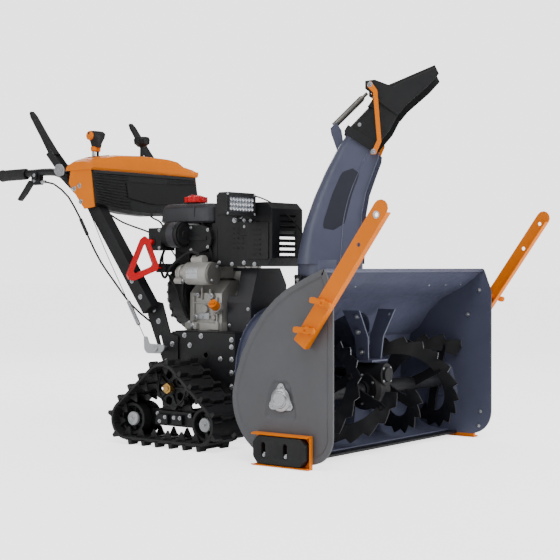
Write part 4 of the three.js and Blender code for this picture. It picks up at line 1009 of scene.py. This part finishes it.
def work_light():
    """A flood light: finned die-cast body, bezel, reflector cups and two rows of emitters."""
    rounded("work_light", 2.2)
    bm = bmesh.new()
    face = rounded_outline([(-250, 706), (-122, 706), (-122, 760), (-250, 760)], 8, 3)
    hole = rounded_outline([(-243, 712), (-129, 712), (-129, 754), (-243, 754)], 6, 3)

    def ring(points, y):
        return [bm.verts.new((a, y, b)) for a, b in points]

    a, b, c, d = ring(face, -159.5), ring(face, -163), ring(hole, -163), ring(hole, -157)
    ring_faces(bm, a, b)
    ring_faces(bm, c, d)
    filled(bm, b, [c])
    filled(bm, a, [d])
    finish(bm, "lamp_bezel", "black_plastic", "lamp", 0.8, 30)
    bm = bmesh.new()
    leds = bmesh.new()
    for z in (719, 733, 747):
        for i in range(8):
            px = -236 + i * 14.2
            add_turned(bm, [(6.4, 0), (6.2, -0.4), (3.2, 4.0), (0, 4.2)], (px, -161.2, z), (0, 1, 0), 14)
            add_turned(leds, [(0, 0), (2.6, 0), (2.2, 1.6), (0, 2.2)], (px, -157.4, z), (0, -1, 0), 10)
    add_box(bm, (-243, -157.2, 712), (-129, -156.2, 754))
    finish(bm, "lamp_reflectors", "glass", "lamp", 0, 50)
    finish(leds, "lamp_emitters", "led", "lamp", 0, 50)
    for px, z in ((-250, 704), (-122, 704), (-250, 762), (-122, 762)):
        bolt("lamp", (px, -160, z), (0, -1, 0), 3.2)
    bm = bmesh.new()
    add_box(bm, (-200, -152, 692), (-174, -136, 699))
    finish(bm, "lamp_foot", "black_steel", "lamp", 1.0)
    bolt("machine", (-190, -136, 685), (-1, 0, 0), 6)
    for px in (-160, -130):
        bolt("machine", (px, -150, 685), (0, -1, 0), 5)


work_light()


def harness():
    """Wires between the switch box, the starter and the light, and the pipes below them."""
    wires = (
        ("starter_lead", 4.2, [(-130, 206, 597), (-150, 204, 560), (-158, 190, 522), (-166, 168, 510),
                               (-176, 140, 540), (-172, 100, 572), (-162, 66, 590), (-150, 44, 583)]),
        ("switch_lead", 3.2, [(-124, 214, 597), (-128, 214, 560), (-130, 190, 520), (-132, 150, 470),
                              (-128, 134, 420), (-112, 124, 380)]),
        ("light_lead", 2.2, [(-124, -134, 750), (-104, -142, 762), (-60, -180, 740), (-20, -226, 690),
                             (20, -240, 640), (44, -236, 600)]),
        ("throttle_rod", 2.2, [(-116, 190, 600), (-120, 150, 560), (-122, 120, 540), (-112, 100, 500)]),
        ("fuel_pipe", 3.4, [(-112, 60, 684), (-118, 44, 660), (-122, 30, 630), (-118, 20, 590),
                            (-110, 16, 560)]),
    )
    for name, r, points in wires:
        tube_piece(name, points, r, "rubber", "machine", 8, 10)
    turned_piece("starter_terminal_boot", "rubber", "machine", solid((6.5, 0), (7.5, 4), (5, 16)),
            (-150, 44, 574), (0, 0, 1), 14, 0.6)


harness()

# ---- chassis and tracks ----
TRACK_IN, TRACK_OUT, TRACK_MID = 222, 360, 285
WHEEL_R, DRIVE_R, BELT_T = 52, 68, 9
IDLERS = {"front": (-134, 76), "rear": (158, 76)}
DRIVE_AT = (10, 177)


def tangent(dy, dz, r0, r1):
    return atan2(dz, dy) - pi / 2 - asin((r1 - r0) / hypot(dy, dz))


def loop(grow, steps=14):
    """The belt's line round the two idlers and the sprocket."""
    circles = [(*IDLERS["front"], WHEEL_R), (*IDLERS["rear"], WHEEL_R), (*DRIVE_AT, DRIVE_R)]
    points = []
    for i, (y, z, r) in enumerate(circles):
        py, pz, pr = circles[i - 1]
        ny, nz, nr = circles[(i + 1) % 3]
        a = tangent(y - py, z - pz, pr, r)
        b = tangent(ny - y, nz - z, r, nr)
        while b < a:
            b += TURN
        points += [(y + (r + grow) * cos(a + (b - a) * k / steps),
                z + (r + grow) * sin(a + (b - a) * k / steps)) for k in range(steps + 1)]
    return points


def spots(count, shift):
    """Evenly spaced places on the belt: (point, direction along, direction out)."""
    line = [Vector(p) for p in loop(0, 24)]
    lengths = [(line[(i + 1) % len(line)] - line[i]).length for i in range(len(line))]
    total = sum(lengths)
    out = []
    for k in range(count):
        want = ((k + shift) / count) % 1 * total
        i = 0
        while want > lengths[i]:
            want -= lengths[i]
            i += 1
        a, b = line[i], line[(i + 1) % len(line)]
        d = (b - a).normalized()
        out.append((a + d * want, d, Vector((d[1], -d[0]))))
    return out


def track(side, name):
    """A moulded rubber belt: carcass, stepped cleats outside, ribs and guide teeth inside."""
    bm = bmesh.new()
    outer, inner = loop(BELT_T), loop(0)

    def ring(points, x):
        return [bm.verts.new((side * x, y, max(z, 1.0))) for y, z in points]

    a = ring(outer, TRACK_IN)
    b = ring(outer, TRACK_OUT)
    c = ring(inner, TRACK_OUT)
    d = ring(inner, TRACK_IN)
    ring_faces(bm, a, b, c, d, a)
    count = 18
    for at, along, out in spots(count, 0.35):
        def place(u, v, w, at=at, along=along, out=out):
            p = at + along * u + out * v
            return (side * w, p[0], max(p[1], 0.0))

        # cleat: two outer feet, set forward, and a middle bar joined by slants
        for x0, x1, shift in ((TRACK_IN, TRACK_IN + 34, -5), (TRACK_OUT - 34, TRACK_OUT, -5)):
            add_prism(bm, [(-9 + shift, 5), (9 + shift, 5), (5 + shift, 24), (-5 + shift, 24)], place, x0, x1)
        add_prism(bm, [(-3, 5), (13, 5), (9, 21), (1, 21)], place, TRACK_IN + 46, TRACK_OUT - 46)
        for x0, x1, s0, s1 in ((TRACK_IN + 34, TRACK_IN + 46, -5, 5),
                (TRACK_OUT - 46, TRACK_OUT - 34, 5, -5)):
            add_loft(bm, [[place(s + u, v, x) for u, v in ((-8, 5), (8, 5), (4, 20), (-4, 20))]
                    for s, x in ((s0, x0), (s1, x1))])
        for x0, x1 in ((TRACK_IN + 8, TRACK_IN + 40), (TRACK_OUT - 40, TRACK_OUT - 8)):
            add_prism(bm, [(14, 6), (20, 6), (18, 12.5), (15, 12.5)], place, x0, x1)
    for at, along, out in spots(count, 0.85):
        def place(u, v, w, at=at, along=along, out=out):
            p = at + along * u + out * v
            return (side * w, p[0], p[1])

        add_prism(bm, [(-3, 0.5), (3, 0.5), (2, -3.5), (-2, -3.5)], place, TRACK_IN + 3, TRACK_OUT - 3)
        for x0 in (TRACK_IN + 19, TRACK_OUT - 31):
            add_prism(bm, [(-17, 0.5), (17, 0.5), (3, -26), (-3, -26)], place, x0, x0 + 5)
    finish(bm, name + "_moulding", "rubber", "machine", 0.9, 35, 1, replace=[name])


def wheel_ribs(bm, centre, x, count, shift, widths, stations):
    """Ribs on a wheel's outer face: half widths at foot and crest, and (radius, height) stations."""
    foot, crest = widths
    for k in range(count):
        a = TURN * (k + shift) / count
        u, v = Vector((0, cos(a), sin(a))), Vector((0, -sin(a), cos(a)))
        add_loft(bm, [[centre + u * r + v * w + x * h for w, h in ((-foot, 0), (foot, 0), (crest, top),
                (-crest, top))] for r, top in stations])


def wheel_trim(side, hand):
    x = Vector((side, 0, 0))
    for end, (y, z) in IDLERS.items():
        body = f"{end}_idler_{hand}"
        node = f"idler_{end}_{hand}"
        rounded(node, 1.6)
        turned_piece(node + "_cap", "cap_grey", body, solid((20.5, 0), (21.5, 1.5), (21.5, 8), (19.5, 10.5),
                (12, 11.5), (9, 10)), (side * 317, y, z), x, 32, 0)
        side_bolts(side * 327, side, 5.5, (y, z), body=body)
        bm = bmesh.new()
        wheel_ribs(bm, Vector((side * 304.5, y, z)), x, 8, 0, (1.8, 1.5), ((22, 9), (34, 6), (43, 14)))
        finish(bm, node + "_ribs", "black_plastic", body, 0.5)
    node = "drive_sprocket_" + hand
    rounded(node, 1.0)
    bm = bmesh.new()
    wheel_ribs(bm, Vector((side * 308.5, *DRIVE_AT)), x, 5, 0.5, (3.4, 2.6), ((19, 9), (40, 5), (57, 3)))
    add_turned(bm, collar(52, 57, 0, 3.5), (side * 308.5, *DRIVE_AT), x, 40)
    finish(bm, node + "_spokes", "black_plastic", "drive_train", 0.6)
    bm = bmesh.new()
    add_turned(bm, solid((17, 0), (17.6, 2), (17.6, 12.5), (16.2, 15.5)), (side * 319, *DRIVE_AT), x, 6)
    add_turned(bm, solid((8, 14), (8, 18), (7, 19)), (side * 319, *DRIVE_AT), x, 18)
    finish(bm, node + "_nut", "brass", "drive_train", 0.7)
    # frame: bolted blocks and their screws
    bm = bmesh.new()
    for y0, y1, z0, z1 in ((-34, 6, 66, 96), (24, 66, 66, 96)):
        add_box(bm, (min(side * 305, side * 316), y0, z0), (max(side * 305, side * 316), y1, z1))
    finish(bm, "track_frame_blocks_" + hand, "black_steel", "machine", 1.6)
    side_bolts(side * 316, side, 4.6, (-26, 88), (-2, 88), (34, 88), (56, 74))
    side_bolts(side * 305, side, 4.6, (-56, 96), (74, 96))


for side, hand in SIDES:
    track(side, "track_belt_" + hand)
    wheel_trim(side, hand)
for n, b in (("chassis_frame", 1.6), ("track_frame", 1.2), ("column_left", 1.6), ("column_right", 1.6)):
    rounded(n, b)


CHASSIS_HALF, COLUMN_FOOT = 195, 201


def chassis_trim():
    for side, hand in ((-1, "right"), (1, "left")):
        x = Vector((side, 0, 0))
        side_bolts(side * CHASSIS_HALF, side, 6, (-128, 322), (-128, 300), (-128, 262), (-84, 262), (-6, 330),
                (62, 330), (-128, 222), (-128, 180), (-60, 150), (96, 150), (40, 300))
        turned_piece("chassis_grommet_" + hand, "rubber", "machine", collar(8.6, 13, 0, 1.6),
                (side * CHASSIS_HALF, -27, 272), x, 24, 0.4)
        side_bolts(side * COLUMN_FOOT, side, 6.4, (108, 302), (132, 246), (186, 408), (166, 372))
        side_bolts(side * 240, side, 6, *((183 + 309 * f, 415 + 420 * f) for f in (0.08, 0.2)))
    deck = [(-186, -136), (186, -136), (186, 108), (-186, 108)]
    prism_piece("engine_deck_gasket", "black_steel", "machine", deck, along_z, 341.2, 343.4, 0.6)
    # clutch linkage: wires, springs, and the arms that they pull
    for side, hand in SIDES:
        tube_piece("clutch_wire_" + hand, [(side * 249, 560, 838), (side * 249, 500, 790),
                (side * 248, 433, 732), (side * 248, 356, 598), (side * 248, 253, 432)], 1.3,
                "cast_iron", "machine", 4, 6)
        top = Vector((side * 247, 253, 434))
        along = Vector((side * 242, 184, 316)) - top
        turns = 22
        length = along.length
        step = length * 0.62 / turns
        coil = [(0, -6), (3, -6), (3, 0)]
        for i in range(turns):
            z = length * 0.62 * i / turns
            coil += [(5.4, z), (6.8, z + step * 0.3), (6.8, z + step * 0.6), (5.4, z + step * 0.95)]
        coil += [(2, length * 0.64), (1.6, length * 0.66), (1.6, length), (0, length)]
        turned_piece("clutch_spring_" + hand, "steel", "machine", coil, top, along, 16, 0, 25)
        arm = [(190, 324), (177, 326), (168, 303), (104, 301), (104, 285), (120, 273), (176, 272), (188, 284)]
        prism_piece("clutch_arm_" + hand, "cap_grey", "machine", rounded_outline(arm, 5, 2), along_x,
                *sorted((side * 244, side * 239)), 0.8)
        turned_piece("clutch_arm_pin_" + hand, "steel", "machine", solid((8, 0), (8, 47), (5, 49)),
                (side * 200, 136, 288), (side, 0, 0), 16, 0.8)


chassis_trim()


# ---- operator's end ----
for n, b in (("dash_body", 2.2), ("dash_cover", 3.5), ("handlebar", 0.8), ("clutch_lever_left", 2.2),
        ("clutch_lever_right", 2.2), ("steering_trigger_left", 1.6), ("steering_trigger_right", 1.6),
        ("speed_lever", 2.2), ("chute_joystick", 1.2), ("steering_cables", 0.5), ("drive_axle", 0.6),
        ("auger_shaft", 0.6)):
    rounded(n, b, 34)
rounded("drive_belt", 0.4)


DASH_HALF = 254
BAR_X, LEVER_PIVOT = 240, (552, 862)


def dash_front(x, f):
    """A point on the dash's front face: x across, f from the lower edge (0) to the top (1)."""
    t = 1 - (x / DASH_HALF) ** 2
    low, front = 742 - 28 * t, 388 - 12 * t
    return front + (410 - 8 * t - front) * f, low + 10 + (858 - low - 10) * f


COVER_CROWN = ((-262, 886), (-244, 894), (-200, 906), (-120, 916), (0, 921), (110, 919), (160, 913),
               (192, 898), (244, 890), (262, 884))


def cover_top(x):
    """The height of the orange cover's crown at x."""
    for (x0, z0), (x1, z1) in zip(COVER_CROWN, COVER_CROWN[1:]):
        if x0 <= x <= x1:
            return z0 + (z1 - z0) * (x - x0) / (x1 - x0)
    return COVER_CROWN[0][1]


def dash_trim():
    """Raised lines on the front's outer thirds, a blank panel between them, a rail and screws."""
    bm = bmesh.new()
    for k in range(11):
        f = 0.06 + k * 0.082
        for lo, hi in ((-250, -96), (96, 250)):
            rings = []
            steps = 12
            for i in range(steps + 1):
                x = lo + (hi - lo) * i / steps
                y, z = dash_front(x, f)
                h = 0.75 if i in (0, steps) else 3
                rings.append([(x, y + 1, z - 3.6), (x, y - h, z - 1.2),
                        (x, y - h, z + 1.2), (x, y + 1, z + 3.6)])
            add_loft(bm, rings)
    finish(bm, "dash_ridges", "black_plastic", "machine", 0, 40)
    rings = []
    steps = 18
    for i in range(steps + 1):
        x = -112 + 356 * i / steps
        lo, hi = 0.22 + 0.1 * max(0, -x) / 112, 0.76
        (y0, z0), (y1, z1) = dash_front(x, lo), dash_front(x, hi)
        rings.append([(x, y0 + 2, z0), (x, y0 - 5, z0 + 2), (x, y1 - 5, z1 - 2), (x, y1 + 2, z1)])
    loft_piece("dash_panel", "panel_black", "machine", rings, 1.4, 30)
    rings = []
    for i in range(21):
        x = -252 + 504 * i / 20
        t = 1 - (x / DASH_HALF) ** 2
        y = 410 - 8 * t
        rings.append([(x, y + 2, 846), (x, y - 6, 848), (x, y - 6, 857.6), (x, y + 2, 858)])
    loft_piece("dash_rail", "black_plastic", "machine", rings, 1.0, 40)
    for side in (-1, 1):
        side_bolts(side * 259, side, 6.2, (486, 800), (462, 808), (456, 756))


def lever_gates():
    """The rims of the slots that the levers stand in."""
    bm = bmesh.new()
    for x0, x1, y0, y1 in ((-203, -129, 459, 501), (37, 73, 449, 511)):
        outer = [(x0 - 4, y0 - 4), (x1 + 4, y0 - 4), (x1 + 4, y1 + 4), (x0 - 4, y1 + 4)]
        hole = [(x0 + 2, y0 + 2), (x1 - 2, y0 + 2), (x1 - 2, y1 - 2), (x0 + 2, y1 - 2)]
        outer, hole = rounded_outline(outer, 6, 3), rounded_outline(hole, 5, 3)

        def gate(points, dz):
            made = []
            for u, v in points:
                h = cover_top(u) - 10 * max(0.0, v - 490) / 24
                made.append(bm.verts.new((u, v, h + dz)))
            return made

        a, b, c, d = gate(outer, -3), gate(outer, 2.0), gate(hole, 2.0), gate(hole, -6)
        ring_faces(bm, a, b, c, d, a)
    finish(bm, "lever_gates", "black_plastic", "machine", 0, 40)


def lever_trim():
    """The joystick's coloured rings and sleeve, and the speed knob's ridges."""
    bm = bmesh.new()
    for x in (-158, -176):
        add_turned(bm, [(5, 0), (9.5, 2), (10.5, 14), (7.5, 17), (5, 17), (5, 0)],
                (x, 480, 926), (0, 0, 1), 18)
    add_turned(bm, solid((11, 0), (15, 3), (15.5, 8), (10, 10)), (-199.8, 480, 978), (1, 0, 0), 20)
    finish(bm, "joystick_trim", "orange_plastic", "chute_control", 0.6)
    turned_piece("joystick_sleeve", "steel", "chute_control", collar(4.6, 6.4, 0, 40),
            (-176, 480, 886), (0, 0, 1), 16, 0.3)
    bm = bmesh.new()
    for k in range(18):
        a = TURN * k / 18
        u = Vector((cos(a), sin(a), 0))
        v = Vector((-sin(a), cos(a), 0))
        c = Vector((55, 480, 0))
        section = ((-1, -1.6), (1.2, -1), (1.2, 1), (-1, 1.6))
        add_loft(bm, [[c + u * (r + out) + v * w + Vector((0, 0, z)) for out, w in section]
                for r, z in ((25, 968), (27, 983), (23, 991))])
    finish(bm, "speed_knob_ridges", "black_plastic", "speed_control", 0, 40)


for trim in (dash_trim, lever_gates, lever_trim):
    trim()


def handle_trim(side, hand):
    bar = side * BAR_X
    # moulded grip with finger rings and a flanged end
    bm = bmesh.new()
    profile = [(13.9, 0), (16.5, 0), (18.6, 3)]
    for i in range(17):
        y = 6 + i * 6.4
        profile += [(18.2, y), (19.3, y + 1.6), (19.3, y + 4.0), (18.2, y + 5.6)]
    profile += [(18.4, 117), (20.8, 120), (21, 124), (19, 127), (0, 127), (0, 124), (13.9, 124), (13.9, 0)]
    add_turned(bm, profile, (bar, 735, 858.8), (0, 1, -0.012), 28)
    finish(bm, "grip_" + hand + "_sleeve", "rubber", "machine", 0, 35, replace=["grip_" + hand])
    # lever bracket: two cheeks, a pin and screws
    bm = bmesh.new()
    for x in (bar - 19.4, bar + 17.6):
        add_prism(bm, rounded_outline([(534, 846), (566, 842), (584, 860), (572, 884), (548, 884),
                (532, 868)], 6, 2), along_x, x, x + 1.8)
    finish(bm, "lever_bracket_" + hand, "steel", "machine", 0.5)
    turned_piece("lever_pin_" + hand, "steel", "machine", solid((4.2, 0), (4.2, 44)),
            (bar - 22, *LEVER_PIVOT), (1, 0, 0), 14, 0.5)
    side_bolts(bar + side * 21, side, 6.5, LEVER_PIVOT)
    side_bolts(bar + side * 19.4, side, 4.2, (570, 866))
    # trigger perch: pinch screw and barrel adjuster
    side_bolts(bar + side * 15, side, 4.6, (684, 852))
    side_bolts(bar + side * 9.2, side, 4.2, (690, 834))
    turned_piece("adjuster_" + hand, "steel", "machine", [(3.4, 0), (6.4, 0), (6.4, 8), (5.4, 9), (5.4, 20),
            (3.4, 21), (3.4, 0)], (bar, 663, 829), (0, -1, 0.0), 12, 0.4)
    # ribs along the clutch paddle
    bm = bmesh.new()
    for x in (-10, 0, 10):
        rings = []
        for y, z, w, h in ((616, 935.5, 1.2, 0.5), (640, 968, 1.6, 2.6),
                (672, 1012, 1.6, 2.6), (696, 1044, 1, 0.5)):
            u = Vector((0, -0.8, 0.6))
            c = Vector((bar + x, y, z)) + u * 4.6
            rings.append([c + Vector((-w, 0, 0)) - u, c + Vector((w, 0, 0)) - u,
                    c + Vector((w * 0.6, 0, 0)) + u * h * 0.5, c + Vector((-w * 0.6, 0, 0)) + u * h * 0.5])
        add_loft(bm, rings)
    finish(bm, "paddle_ribs_" + hand, "black_plastic", hand + "_clutch", 0, 40)


for side, hand in SIDES:
    handle_trim(side, hand)
# cables that leave the dash for the engine and the chute
tube_piece("speed_cable", [(40, 452, 742), (20, 400, 712), (-10, 330, 690), (-60, 262, 640), (-96, 236, 600)],
        3.0, "rubber", "machine", 8, 8)
tube_piece("chute_cable", [(-150, 440, 722), (-140, 380, 690), (-120, 300, 662), (-100, 246, 640)], 3.0,
        "rubber", "machine", 8, 8)

# ---- every CAD node takes its slot's finish ----
for name, item in nodes.items():
    item.data.materials.clear()
    item.data.materials.append(MATS[slot_of_node[name]])
build_bolts()

# ---- floor ----
HALF, FLOOR_DROP = 30, 0.0006
floor_mesh = bpy.data.meshes.new("floor")
floor_mesh.from_pydata(
        [(-HALF, -HALF, 0), (HALF, -HALF, 0), (HALF, HALF, 0), (-HALF, HALF, 0)], [], [(0, 1, 2, 3)])
floor = add_object("floor", floor_mesh)
floor.location.z = -FLOOR_DROP
floor_look = material("floor", (0.93, 0.93, 0.93), 0.75, 0.0, 0.01, 40, 0.02, patch=2)
floor_shader = floor_look.node_tree.nodes["Principled BSDF"]
floor_shader.inputs["Emission Color"].default_value = (1, 1, 1, 1)
stage_glow(floor_look.node_tree, floor_shader.inputs["Emission Strength"], FLOOR_LIGHT, FLOOR_GLOW)
floor_mesh.materials.append(floor_look)
